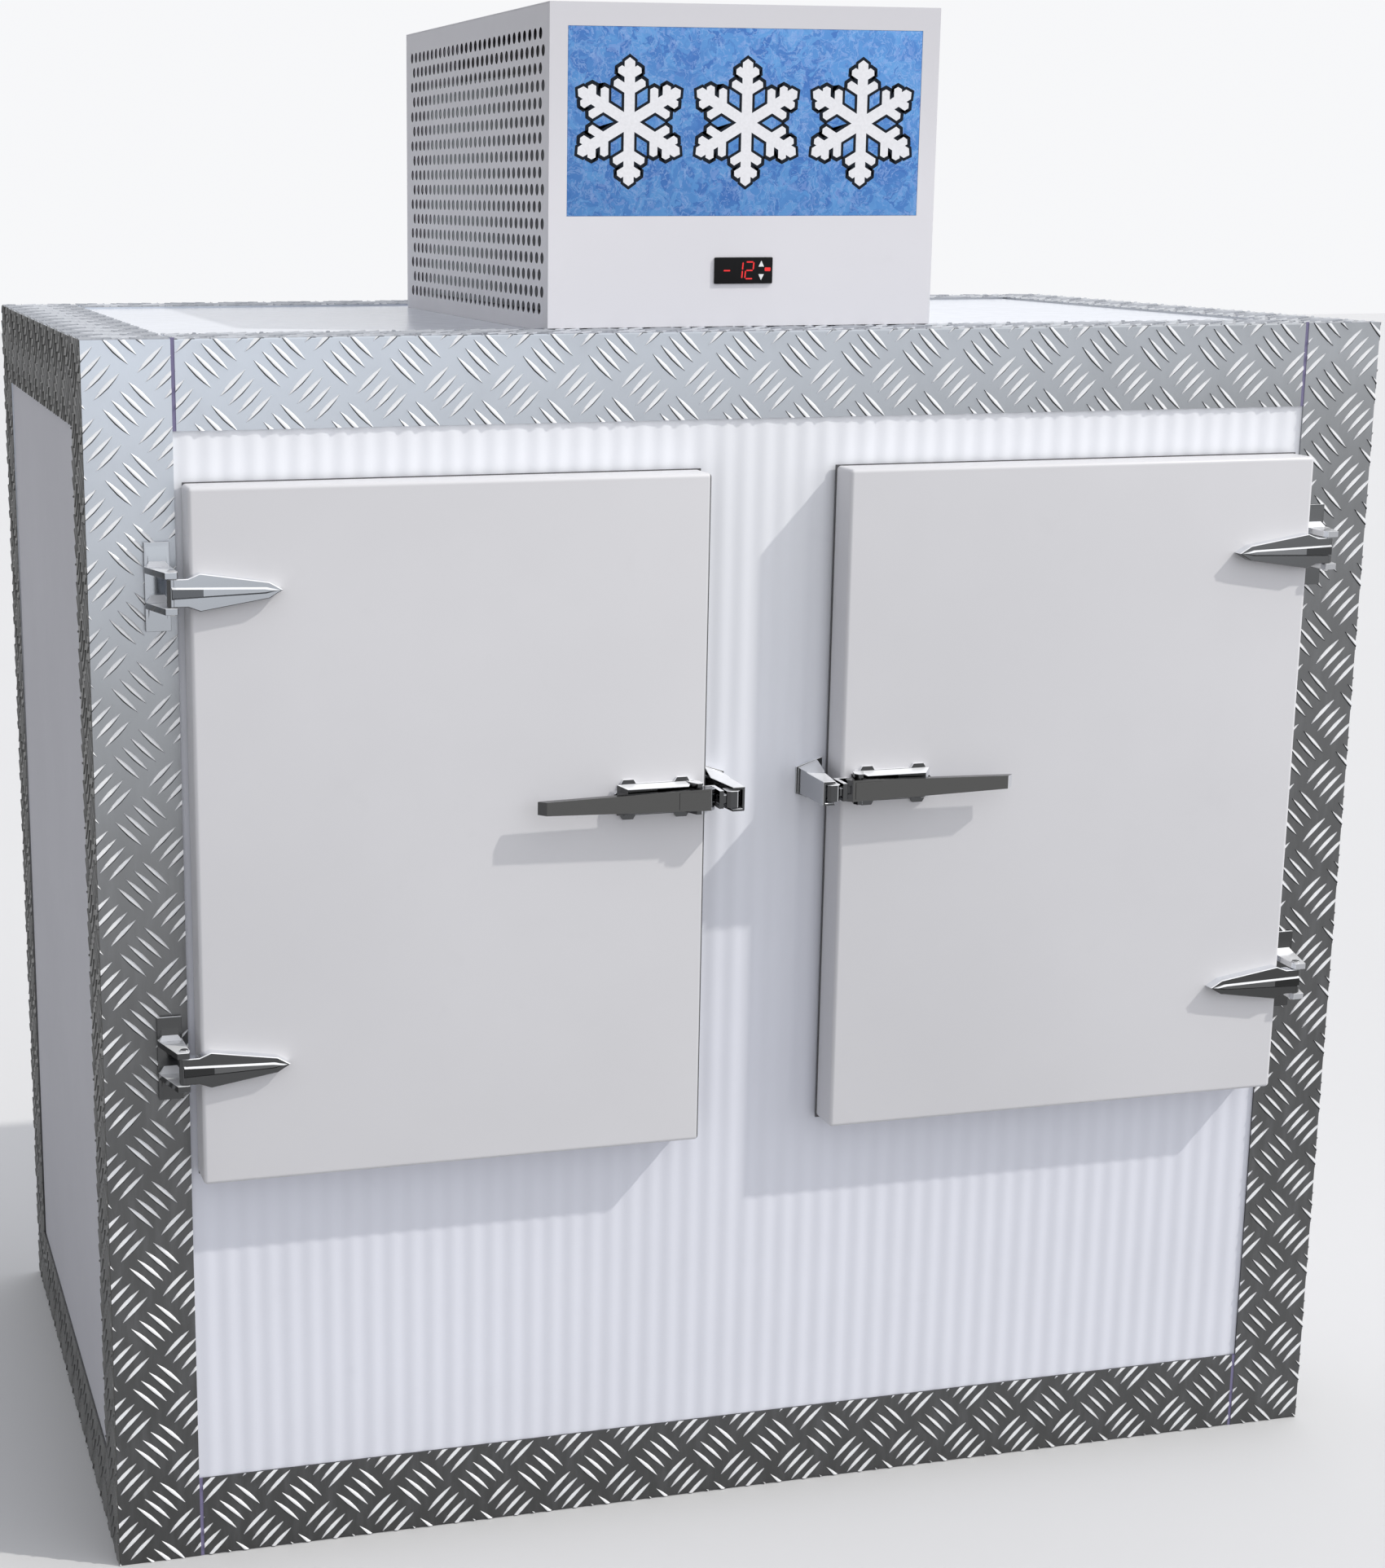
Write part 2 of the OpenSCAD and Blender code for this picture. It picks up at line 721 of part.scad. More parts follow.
module door_body(inset, y_back) {
    depth = door_proud - inset + y_back;
    round = max(door_round - inset, 0.5);
    wide = door_w - 2 * inset;
    tall = door_h - 2 * inset;
    translate([door_inner_x + inset, -door_proud + inset, door_z + inset]) intersection() {
        linear_extrude(tall) soft_profile(wide, depth, round);
        rotate([90, 0, 90]) linear_extrude(wide) {
            rotate(-90) mirror([1, 0, 0]) soft_profile(tall, depth, round);
        }
    }
}

module door_pan() {
    difference() {
        door_body(0, -door_back_gap);
        door_body(pan_t, 0);
    }
}

module door_core() {
    intersection() {
        door_body(pan_t, 0);
        block([door_inner_x, -door_proud, door_z], [door_outer_x, -door_back_gap, door_top]);
    }
}

module door_gasket() {
    ring_xz(way_x0 - gasket_inset, way_x1 + gasket_inset, way_z0 - gasket_inset, way_z1 + gasket_inset,
        gasket_w, -door_back_gap, trim_t - gasket_gap);
}

module left_door_pan() {
    color(GREY) handed(-1) door_pan();
}

module right_door_pan() {
    color(GREY) handed(1) door_pan();
}

module left_door_core() {
    color(WHITE) handed(-1) door_core();
}

module right_door_core() {
    color(WHITE) handed(1) door_core();
}

module left_door_gasket() {
    color(DARK) handed(-1) door_gasket();
}

module right_door_gasket() {
    color(DARK) handed(1) door_gasket();
}

// ---- latches ----

module lever() {
    tip_x = lever_pin_x + lever_l;
    grip_back = -lever_front + lever_t;
    block_back = -lever_front + lever_block_t;
    difference() {
        union() {
            intersection() {
                raised(-lever_wide_half, lever_wide_half) polygon([
                    [lever_end_x, -lever_front + lever_round], [lever_end_x + lever_round, -lever_front],
                    [tip_x - lever_tip_cut, -lever_front], [tip_x, -lever_front + lever_tip_cut],
                    [tip_x - 3, grip_back + 1],
                    [lever_pin_x + lever_block_l + lever_slope_l, grip_back],
                    [lever_pin_x + lever_block_l, block_back], [lever_end_x + lever_back_cut, block_back],
                    [lever_end_x, block_back - lever_back_cut]
                ]);
                facing(-lever_front - 1, 0) polygon([
                    [lever_end_x, lever_wide_half], [tip_x, lever_tip_half],
                    [tip_x, -lever_tip_half], [lever_end_x, -lever_wide_half]
                ]);
            }
            block([lever_pin_x - pad_back, -lever_front - pad_t, -lever_wide_half + pad_inset],
                [lever_pin_x - pad_back + pad_l, -lever_front, lever_wide_half - pad_inset]);
        }
        translate([lever_pin_x, -lever_pin_y, -lever_wide_half - 1]) {
            cylinder(d = lever_pin_d + 2 * pin_clear, h = 2 * lever_wide_half + 2);
        }
    }
}

// The guide plate that the bolt's shank slides in
module nose() {
    nose_half = shank_half + 6;
    difference() {
        union() {
            block([nose_x0, -bolt_front + 3, -nose_half], [nose_x1, -door_proud, nose_half]);
            block([nose_x1, -door_proud - latch_base_t, -nose_half],
                [latch_body_x, -door_proud, nose_half]);
        }
        block([nose_x0 - 1, -bolt_mid - shank_half - shank_clear, -shank_half - shank_clear],
            [nose_x1 + 1, -bolt_mid + shank_half + shank_clear, shank_half + shank_clear]);
    }
}

module latch_base() {
    x0 = latch_body_x;
    x1 = x0 + latch_body_l;
    cut = 12;
    base_top = -door_proud - latch_base_t;
    lug_low = lever_wide_half + lug_clear;
    channel_x1 = lever_pin_x + lever_block_l + lever_slope_l + 2;
    hump_top = -door_proud - latch_hump_t;
    union() {
        facing(base_top, -door_proud) union() {
            polygon([
                [x0, latch_body_half - 4], [x0 + 4, latch_body_half], [x1 - cut, latch_body_half],
                [x1, latch_body_half - cut], [x1, -latch_body_half + cut],
                [x1 - cut, -latch_body_half], [x0 + 4, -latch_body_half], [x0, -latch_body_half + 4]
            ]);
            for (ear_x = [x0 + 10, x1 - 7 - ear_l], up = [-1, 1]) {
                polygon([
                    [ear_x, up * latch_body_half], [ear_x + 3, up * (latch_body_half + ear_h)],
                    [ear_x + ear_l - 3, up * (latch_body_half + ear_h)], [ear_x + ear_l, up * latch_body_half]
                ]);
            }
        }
        // The hump, hollowed where the lever's block sinks into it
        difference() {
            intersection() {
                raised(-latch_body_half, latch_body_half) polygon([
                    [x0 + 7, base_top], [x0 + 15, hump_top], [x1 - cut, hump_top], [x1 - 2, base_top]
                ]);
                rotate([90, 0, 90]) linear_extrude(x1) polygon([
                    [base_top, latch_body_half - 0.5], [hump_top, lug_low + 1],
                    [hump_top, -lug_low - 1], [base_top, -latch_body_half + 0.5]
                ]);
            }
            block([x0, hump_top - 1, -lug_low], [channel_x1, base_top, lug_low]);
        }
        for (up = [0, 1]) mirror([0, 0, up]) {
            raised(lug_low, lug_low + latch_lug_t) polygon([
                [lever_pin_x - lug_reach + 3, base_top], [lever_pin_x - lug_reach, -lever_pin_y],
                [lever_pin_x - lug_reach + 3, -lever_pin_y - lug_reach],
                [lever_pin_x + lug_reach - 3, -lever_pin_y - lug_reach],
                [lever_pin_x + lug_reach, -lever_pin_y], [lever_pin_x + lug_reach + 6, base_top]
            ]);
        }
        translate([lever_pin_x, -lever_pin_y, -lug_low - latch_lug_t]) {
            cylinder(d = lever_pin_d, h = 2 * (lug_low + latch_lug_t));
        }
        nose();
    }
}

module bolt() {
    round = 4;
    raised(-bolt_half, bolt_half) polygon([
        [bolt_x0, -bolt_front + round], [bolt_x0 + round, -bolt_front],
        [bolt_x1 - round, -bolt_front], [bolt_x1, -bolt_front + round],
        [bolt_x1, -bolt_front + bolt_depth], [bolt_x0 + round, -bolt_front + bolt_depth],
        [bolt_x0, -bolt_front + bolt_depth - round]
    ]);
    block([bolt_x1, -bolt_mid - shank_half, -shank_half], [nose_x1 - 1, -bolt_mid + shank_half, shank_half]);
}

module strike() {
    foot_x0 = web_x0 - 3;
    foot_x1 = foot_x0 + strike_foot_w;
    gusset_x1 = web_x0 + strike_foot_w - 8;
    union() {
        facing(trim_t - strike_t, trim_t) polygon([
            [foot_x0, strike_half + 2], [foot_x1, strike_foot_half],
            [foot_x1, -strike_foot_half], [foot_x0, -strike_half - 2]
        ]);
        block([web_x0, -strike_proud, -strike_half], [web_x1, trim_t - strike_t, strike_half]);
        for (up = [0, 1]) mirror([0, 0, up]) {
            raised(strike_half - strike_t, strike_half) polygon([
                [web_x0, trim_t - strike_t], [web_x0, -strike_proud],
                [web_x0 + strike_lip_w, -strike_proud], [gusset_x1, trim_t - strike_t]
            ]);
            intersection() {
                translate([web_x0, 0, 0]) rotate([90, 0, 90]) linear_extrude(strike_foot_w - 10) polygon([
                    [trim_t - strike_t, strike_half], [trim_t - strike_t, strike_foot_half - 2],
                    [-strike_proud / 3, strike_half]
                ]);
                facing(-strike_proud, trim_t) polygon([
                    [web_x0, strike_half - 1], [web_x0, strike_half + 1],
                    [foot_x1, strike_foot_half - 1], [foot_x1, strike_half - 1]
                ]);
            }
        }
    }
}

module left_strike() {
    color(CHROME) handed(-1) translate([0, 0, latch_z]) strike();
}

module right_strike() {
    color(CHROME) handed(1) translate([0, 0, latch_z]) strike();
}

module left_latch_base() {
    color(CHROME) handed(-1) translate([0, 0, latch_z]) latch_base();
}

module right_latch_base() {
    color(CHROME) handed(1) translate([0, 0, latch_z]) latch_base();
}

module left_latch_lever() {
    color(CHROME) handed(-1) translate([0, 0, latch_z]) lever();
}

module right_latch_lever() {
    color(CHROME) handed(1) translate([0, 0, latch_z]) lever();
}

module left_latch_bolt() {
    color(CHROME) handed(-1) translate([0, 0, latch_z]) bolt();
}

module right_latch_bolt() {
    color(CHROME) handed(1) translate([0, 0, latch_z]) bolt();
}

// ---- roof unit: base and casing ----

module unit_base() {
    color(GREY) placed() union() {
        block([inner_x0 + casing_gap, inner_y0 + casing_gap, box_h],
            [inner_x1 - casing_gap, inner_y1 - casing_gap, deck_z]);
        block([inner_x0 + casing_edge, trim_roof_w + 1, roof_top],
            [inner_x1 - casing_edge, inner_y1 - casing_edge, box_h]);
    }
}

// Returned edges along the top and bottom of a casing sheet that spans x
module casing_edges(y0, y1) {
    x0 = inner_x0 + casing_gap;
    x1 = inner_x1 - casing_gap;
    top = unit_top - casing_t - casing_gap;
    block([x0, y0, top - casing_t], [x1, y1, top]);
    block([x0, y0, deck_z + casing_gap], [x1, y1, deck_z + casing_gap + casing_t]);
}

module casing_front() {
    sign_x0 = unit_x - sign_w / 2;
    color(GREY) placed() difference() {
        union() {
            block([unit_x0, unit_y, box_h], [unit_x1, inner_y0, unit_top]);
            casing_edges(inner_y0, inner_y0 + casing_edge);
        }
        block([sign_x0, unit_y - 1, sign_z0], [sign_x0 + sign_w, inner_y0 + 1, sign_z0 + sign_h]);
        block([ctrl_mid_x - cutout_w / 2, unit_y - 1, ctrl_mid_z - cutout_h / 2],
            [ctrl_mid_x + cutout_w / 2, inner_y0 + 1, ctrl_mid_z + cutout_h / 2]);
    }
}

// The side sheet as an outline of y and z points with its staggered holes
module grille_outline() {
    low = [inner_y0 + casing_gap, box_h];
    high = [inner_y1 - casing_gap, unit_top - casing_t - casing_gap];
    difference() {
        translate(low) square(high - low);
        for (row = [0:hole_rows - 1], i = [0:hole_count - 1]) {
            y = unit_back - hole_first_y - (i + (row % 2) / 2) * hole_pitch;
            z = unit_top - hole_first_z - row * hole_row;
            if (y - hole_d > inner_y0 && z - hole_d / 2 > box_h + 2) {
                translate([y, z]) circle(d = hole_d, $fn = 24);
            }
        }
    }
}

module side_grille(x) {
    translate([x, 0, 0]) rotate([90, 0, 90]) linear_extrude(casing_t) grille_outline();
}

module casing_left() {
    color(GREY) placed() side_grille(unit_x0);
}

module casing_right() {
    color(GREY) placed() side_grille(inner_x1);
}

module casing_back() {
    slot_w = unit_w * 0.5;
    color(GREY) placed() difference() {
        union() {
            block([unit_x0, inner_y1, box_h], [unit_x1, unit_back, unit_top]);
            casing_edges(inner_y1 - casing_edge, inner_y1);
        }
        for (i = [0:9]) {
            block([unit_x - slot_w / 2, inner_y1 - 1, unit_top - 60 - i * 22],
                [unit_x + slot_w / 2, unit_back + 1, unit_top - 50 - i * 22]);
        }
        translate([gland_x, unit_back + 1, gland_z]) rotate([90, 0, 0]) {
            cylinder(d = gland_d, h = casing_t + 2);
        }
    }
}

module power_gland() {
    color(DARK) placed() translate([gland_x, unit_back, gland_z]) rotate([-90, 0, 0]) difference() {
        union() {
            translate([0, 0, -casing_t]) cylinder(d = gland_d - 0.6, h = casing_t);
            cylinder(d = 27, h = 7, $fn = 6);
            translate([0, 0, 7]) cylinder(d = 22, h = 9);
            translate([0, 0, -casing_t - 5]) cylinder(d = 27, h = 5, $fn = 6);
        }
        translate([0, 0, -casing_t - 6]) cylinder(d = 9, h = 30);
    }
}

module casing_top() {
    color(GREY) placed() {
        block([unit_x0, inner_y0 + casing_gap, unit_top - casing_t],
            [unit_x1, inner_y1 - casing_gap, unit_top]);
    }
}

// ---- sign and controller ----

module sign_panel() {
    clear = 0.3;
    x0 = unit_x - sign_w / 2;
    color([0.3, 0.55, 0.85]) placed() union() {
        block([x0 + clear, unit_y, sign_z0 + clear],
            [x0 + sign_w - clear, inner_y0, sign_z0 + sign_h - clear]);
        block([x0 - sign_lap, inner_y0, sign_z0 - sign_lap],
            [x0 + sign_w + sign_lap, inner_y0 + sign_t, sign_z0 + sign_h + sign_lap]);
    }
}

module sign_lamp() {
    x0 = unit_x - sign_w / 2;
    x1 = x0 + sign_w;
    y0 = inner_y0 + sign_t;
    y1 = y0 + lamp_depth;
    z1 = sign_z0 + sign_h;
    color(WHITE) placed() union() {
        difference() {
            block([x0, y0, sign_z0], [x1, y1, z1]);
            block([x0 + 1, y0 - 1, sign_z0 + 1], [x1 - 1, y1 - 1, z1 - 1]);
        }
        for (z = [sign_z0 + sign_h / 4, sign_z0 + sign_h * 3 / 4]) {
            block([x0 + 20, y1 - 9, z - 6], [x1 - 20, y1 - 1, z + 6]);
        }
    }
}

// A triangle pointing up or down, widened all round by grow
module key_outline(up, grow) {
    half = key_w / 2;
    foot = half + grow * (1 + sqrt(5)) / 2;
    polygon([[-foot, -up * (half + grow)], [foot, -up * (half + grow)], [0, up * (half + grow * sqrt(5))]]);
}

module controller() {
    face_y = unit_y - ctrl_bezel_t;
    clear = 0.3;
    color(DARK) placed() difference() {
        union() {
            block([ctrl_mid_x - ctrl_w / 2, face_y, ctrl_mid_z - ctrl_h / 2],
                [ctrl_mid_x + ctrl_w / 2, unit_y, ctrl_mid_z + ctrl_h / 2]);
            block([ctrl_mid_x - cutout_w / 2 + clear, unit_y, ctrl_mid_z - cutout_h / 2 + clear],
                [ctrl_mid_x + cutout_w / 2 - clear, unit_y + ctrl_depth, ctrl_mid_z + cutout_h / 2 - clear]);
        }
        for (up = [-1, 1]) translate([key_mid_x, 0, ctrl_mid_z + up * key_step]) {
            facing(face_y - 1, face_y + key_travel + 1) key_outline(up, clear);
        }
    }
}

module key(up) {
    face_y = unit_y - ctrl_bezel_t;
    color(WHITE) placed() translate([key_mid_x, 0, ctrl_mid_z + up * key_step]) {
        facing(face_y - key_proud, face_y + 0.7) key_outline(up, 0);
    }
}

module controller_up_key() {
    key(1);
}

module controller_down_key() {
    key(-1);
}

// ---- condensing parts ----

module condenser_coil() {
    rows = 6;
    color([0.7, 0.71, 0.72]) placed() union() {
        block([coil_x0, coil_y0, coil_z0], [coil_x1, coil_y1, coil_z0 + coil_h]);
        block([coil_x0, coil_y0 - 2, deck_z], [coil_x1 + 6, coil_y0, coil_z0 + coil_h + 4]);
        block([coil_x0, coil_y1, deck_z], [coil_x1 + 6, coil_y1 + 2, coil_z0 + coil_h + 4]);
        for (i = [0:rows - 1]) translate([(coil_x0 + coil_x1) / 2, coil_y1 + 2, coil_z0 + coil_h * (i + 0.5) / rows]) {
            rotate_extrude(angle = 180) translate([9, 0]) circle(d = 9, $fn = 24);
        }
    }
}

module condenser_shroud() {
    x0 = coil_x1;
    color(GREY) placed() difference() {
        block([x0, coil_y0, deck_z], [shroud_x1, coil_y1, coil_z0 + coil_h]);
        block([x0 - 1, coil_y0 + 1, deck_z + 1], [shroud_x1 - 1.2, coil_y1 - 1, coil_z0 + coil_h - 1]);
        translate([x0, fan_mid_y, fan_mid_z]) rotate([0, 90, 0]) {
            cylinder(d = fan_d + 2 * fan_clear, h = 2 * shroud_depth, $fn = 96);
        }
    }
}

// A fan with its shaft along +z, its hub's back at z = 0
module fan(diameter, blades) {
    bore = 8 + 2 * pin_clear;
    difference() {
        union() {
            cylinder(d = hub_d, h = blade_depth);
            for (i = [0:blades - 1]) rotate(i * 360 / blades) {
                translate([hub_d / 2 - 4, 0, blade_depth / 2]) rotate([28, 0, 0]) {
                    translate([0, -diameter * 0.16, -1]) linear_extrude(2) polygon([
                        [0, diameter * 0.06], [diameter * 0.2, 0],
                        [diameter / 2 - hub_d / 2 - 2, diameter * 0.04],
                        [diameter / 2 - hub_d / 2 - 2, diameter * 0.25],
                        [diameter * 0.1, diameter * 0.27], [0, diameter * 0.22]
                    ]);
                }
            }
        }
        translate([0, 0, -1]) cylinder(d = bore, h = blade_depth - 3);
    }
}

module condenser_fan() {
    color(DARK) placed() translate([motor_x - 2, fan_mid_y, fan_mid_z]) rotate([0, -90, 0]) fan(fan_d, 5);
}

// A motor with its shaft along +z; its body ends at z = 0
module motor(shaft_l) {
    translate([0, 0, -motor_l]) cylinder(d = motor_d, h = motor_l);
    translate([0, 0, -motor_l - 8]) cylinder(d = motor_d * 0.6, h = 8);
    cylinder(d = 8, h = shaft_l);
}

module condenser_motor() {
    arm_y = fan_d / 2 + fan_clear + 12;
    color(DARK) placed() translate([motor_x, fan_mid_y, fan_mid_z]) union() {
        rotate([0, -90, 0]) motor(16);
        for (sy = [-1, 1]) {
            block([20, min(sy * motor_d * 0.4, sy * arm_y), -10], [24, max(sy * motor_d * 0.4, sy * arm_y), 10]);
            block([shroud_x1 - motor_x, min(sy * arm_y, sy * (arm_y - 4)), -10],
                [24, max(sy * arm_y, sy * (arm_y - 4)), 10]);
        }
    }
}

module compressor() {
    color(DARK) placed() translate([comp_x, comp_y, 0]) union() {
        translate([0, 0, comp_foot_z]) cylinder(d = comp_d, h = comp_h);
        translate([0, 0, comp_foot_z + comp_h]) intersection() {
            translate([0, 0, -comp_d * 0.55]) sphere(r = comp_d * 0.743, $fn = 64);
            cylinder(d = comp_d, h = comp_d / 2);
        }
        block([-comp_d / 2 - 8, -comp_d / 2 + 10, comp_foot_z - comp_foot_t],
            [comp_d / 2 + 8, comp_d / 2 - 10, comp_foot_z]);
        for (sx = [-1, 1], sy = [-1, 1]) {
            translate([sx * (comp_d / 2 - 6), sy * (comp_d / 2 - 24), deck_z]) {
                cylinder(d = 24, h = comp_foot_h);
            }
        }
        for (x = stub_x) translate([x, -comp_d / 2 - 12, stub_z]) rotate([-90, 0, 0]) {
            cylinder(d = pipe_d + 3, h = comp_d / 2, $fn = 24);
        }
    }
}

module electrical_box() {
    x1 = inner_x1 - elec_side;
    y0 = unit_y + elec_y;
    color(GREY) placed() block([x1 - elec_w, y0, deck_z], [x1, y0 + elec_d, deck_z + elec_h]);
}

// A pipe through a list of points, with round elbows
module pipe(points) {
    for (i = [0:len(points) - 2]) {
        step = points[i + 1] - points[i];
        length = norm(step);
        translate(points[i]) rotate([0, acos(step[2] / length), atan2(step[1], step[0])]) {
            cylinder(d = pipe_d, h = length, $fn = 24);
        }
    }
    for (i = [1:len(points) - 2]) translate(points[i]) sphere(d = pipe_d, $fn = 24);
}

module refrigerant_pipes() {
    start_y = comp_y - comp_d / 2 - 12;
    color(COPPER) placed() for (i = [0, 1]) {
        x = comp_x + stub_x[i];
        run_y = start_y - 30 - i * 24;
        pipe([[x, start_y, stub_z], [x, run_y, stub_z], [x, run_y, deck_z]]);
    }
}

// ---- evaporator parts ----

module evaporator_housing() {
    color(GREY) placed() difference() {
        block([evap_x0 + 0.3, evap_y0 + 0.3, evap_low], [evap_x1 - 0.3, evap_y1 - 0.3, roof_top]);
        block([evap_x0 + evap_t, evap_y0 + evap_t, evap_low + evap_t],
            [evap_x1 - evap_t, evap_y1 - evap_t, evap_top]);
        translate([unit_x, evap_fan_y, evap_low - 1]) cylinder(d = evap_fan_d + 10, h = evap_t + 2, $fn = 96);
        for (i = [0:evap_slots - 1]) {
            z = evap_low + evap_slot_low + i * evap_slot_step;
            block([evap_x0 + evap_slot_side, evap_y1 - evap_t - 1, z],
                [evap_x1 - evap_slot_side, evap_y1 + 1, z + evap_slot_h]);
        }
    }
}

module evaporator_coil() {
    color([0.7, 0.71, 0.72]) placed() {
        block([evap_x0 + evap_coil_side, evap_coil_y0, evap_low + evap_t],
            [evap_x1 - evap_coil_side, evap_coil_y1, evap_top]);
    }
}

module evaporator_motor() {
    color(DARK) placed() translate([unit_x, evap_fan_y, evap_top]) mirror([0, 0, 1]) union() {
        cylinder(d = motor_d, h = motor_l);
        translate([0, 0, motor_l]) cylinder(d = 8, h = evap_drop - 4 - motor_l - 26);
    }
}

module evaporator_fan() {
    color(DARK) placed() translate([unit_x, evap_fan_y, evap_low + 16 + blade_depth]) mirror([0, 0, 1]) {
        fan(evap_fan_d, 5);
    }
}

module drip_tray() {
    x0 = evap_x0 + 10;
    x1 = evap_x1 - 10;
    y0 = evap_coil_y0 - 10;
    y1 = evap_y1 - 10;
    color(GREY) placed() difference() {
        union() {
            block([x0, y0, evap_low - tray_h], [x1, y1, evap_low]);
            translate([evap_x1 - 50, y1 - 40, evap_low - tray_h - 14]) cylinder(d = 22, h = 15);
        }
        block([x0 + 1.5, y0 + 1.5, evap_low - tray_h + 1.5], [x1 - 1.5, y1 - 1.5, evap_low + 1]);
        translate([evap_x1 - 50, y1 - 40, evap_low - tray_h - 15]) cylinder(d = 17, h = 30);
    }
}

floor_panel();
roof_panel();
side_panels();
back_panel();
front_panel();
front_skin();
doorway_linings();
floor_deck();
corner_trim_front_left();
corner_trim_front_right();
corner_trims_back();
top_trim_front();
base_trim_front();
side_rail_trims();
back_rail_trims();
seam_strips();
left_hinge_frames();
right_hinge_frames();
hinge_pins();
left_strike();
right_strike();
left_door_pan();
right_door_pan();
left_door_core();
right_door_core();
left_door_gasket();
right_door_gasket();
left_hinge_straps();
right_hinge_straps();
left_latch_base();
right_latch_base();
left_latch_lever();
right_latch_lever();
left_latch_bolt();
right_latch_bolt();
unit_base();
casing_front();
casing_left();
casing_right();
casing_back();
casing_top();
sign_panel();
sign_lamp();
controller();
controller_up_key();
controller_down_key();
condenser_coil();
condenser_shroud();
condenser_fan();
condenser_motor();
compressor();
electrical_box();
refrigerant_pipes();
power_gland();
evaporator_housing();
evaporator_coil();
evaporator_fan();
evaporator_motor();
drip_tray();
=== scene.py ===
import math

import bmesh
import bpy
from mathutils import Matrix, Vector


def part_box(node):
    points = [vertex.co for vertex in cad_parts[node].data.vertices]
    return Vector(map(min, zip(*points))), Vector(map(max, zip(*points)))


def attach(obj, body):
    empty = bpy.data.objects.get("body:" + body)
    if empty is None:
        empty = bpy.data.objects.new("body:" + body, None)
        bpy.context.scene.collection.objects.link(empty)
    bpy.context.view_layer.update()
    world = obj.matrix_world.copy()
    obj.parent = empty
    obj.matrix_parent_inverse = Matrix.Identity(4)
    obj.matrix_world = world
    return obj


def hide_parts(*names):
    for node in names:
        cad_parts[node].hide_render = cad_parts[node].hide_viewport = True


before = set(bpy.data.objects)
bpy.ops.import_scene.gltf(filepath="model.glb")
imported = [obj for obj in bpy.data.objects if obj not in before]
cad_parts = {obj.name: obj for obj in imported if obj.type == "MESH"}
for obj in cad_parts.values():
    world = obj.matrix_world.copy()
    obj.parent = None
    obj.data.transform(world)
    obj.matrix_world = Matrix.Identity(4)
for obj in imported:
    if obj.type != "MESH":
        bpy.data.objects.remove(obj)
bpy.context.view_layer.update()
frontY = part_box("corner_trim_front_left")[0].y  # the box's front face in the row frame
toRow = Matrix.Translation((0, frontY, 0)) @ Matrix.Scale(0.001, 4)  # millimetres from the front face, to the row frame

box = {"halfWidth": 825.0, "depth": 970.0, "height": 1508.0}
doorway = {"inner": 138.0, "outer": 663.0, "low": 561.0, "high": 1294.0}
doorLeaf = {"inner": 88.0, "outer": 713.0, "low": 511.0, "high": 1344.0, "front": -46.7, "back": -2.0}
hinge = {"pinX": 734.0, "pinY": -54.0, "heights": (1226.8, 659.6)}
unitTop = 1884.0
print("frame loaded")

# camera

view = {
    "place": (-1.1696, -3.5154, 1.6686),
    "tilt": -0.2345456,
    "turn": -0.2564547,
    "lens": 3272.1156,  # focal length, in pixels
    "centre": (574.229, 1016.1275),  # the picture's principal point, in pixels
    "picture": (1700, 1925),
}


def makeCamera():
    data = bpy.data.cameras.new("camera")
    wide, tall = view["picture"]
    data.sensor_fit = "AUTO"
    data.sensor_width = 36.0
    data.lens = view["lens"] * data.sensor_width / tall
    data.shift_x = (wide / 2 - view["centre"][0]) / tall
    data.shift_y = (view["centre"][1] - tall / 2) / tall
    data.clip_start, data.clip_end = 0.05, 200
    camera = bpy.data.objects.new("camera", data)
    camera.location = view["place"]
    camera.rotation_euler = (math.pi / 2 + view["tilt"], 0, view["turn"])
    bpy.context.scene.collection.objects.link(camera)
    bpy.context.scene.camera = camera


makeCamera()
print("camera placed")

# finishes


class Value:
    def __init__(self, web, socket):
        self.web, self.socket = web, socket

    def work(self, operation, *terms):
        return self.web.node("ShaderNodeMath", {"operation": operation}, terms)

    def __add__(self, other):
        return self.work("ADD", self, other)

    def __sub__(self, other):
        return self.work("SUBTRACT", self, other)

    def __rsub__(self, other):
        return self.work("SUBTRACT", other, self)

    def __mul__(self, other):
        return self.work("MULTIPLY", self, other)

    def __truediv__(self, other):
        return self.work("DIVIDE", self, other)

    def __rtruediv__(self, other):
        return self.work("DIVIDE", other, self)

    def __lt__(self, other):
        return self.work("LESS_THAN", self, other)

    def __gt__(self, other):
        return self.work("GREATER_THAN", self, other)

    __radd__, __rmul__ = __add__, __mul__

    def ease(self, low, high):  # 0 at low, 1 at high, smooth between
        limits = {"Value": self, "From Min": low, "From Max": high}
        return self.web.node("ShaderNodeMapRange", {"interpolation_type": "SMOOTHSTEP"}, limits)


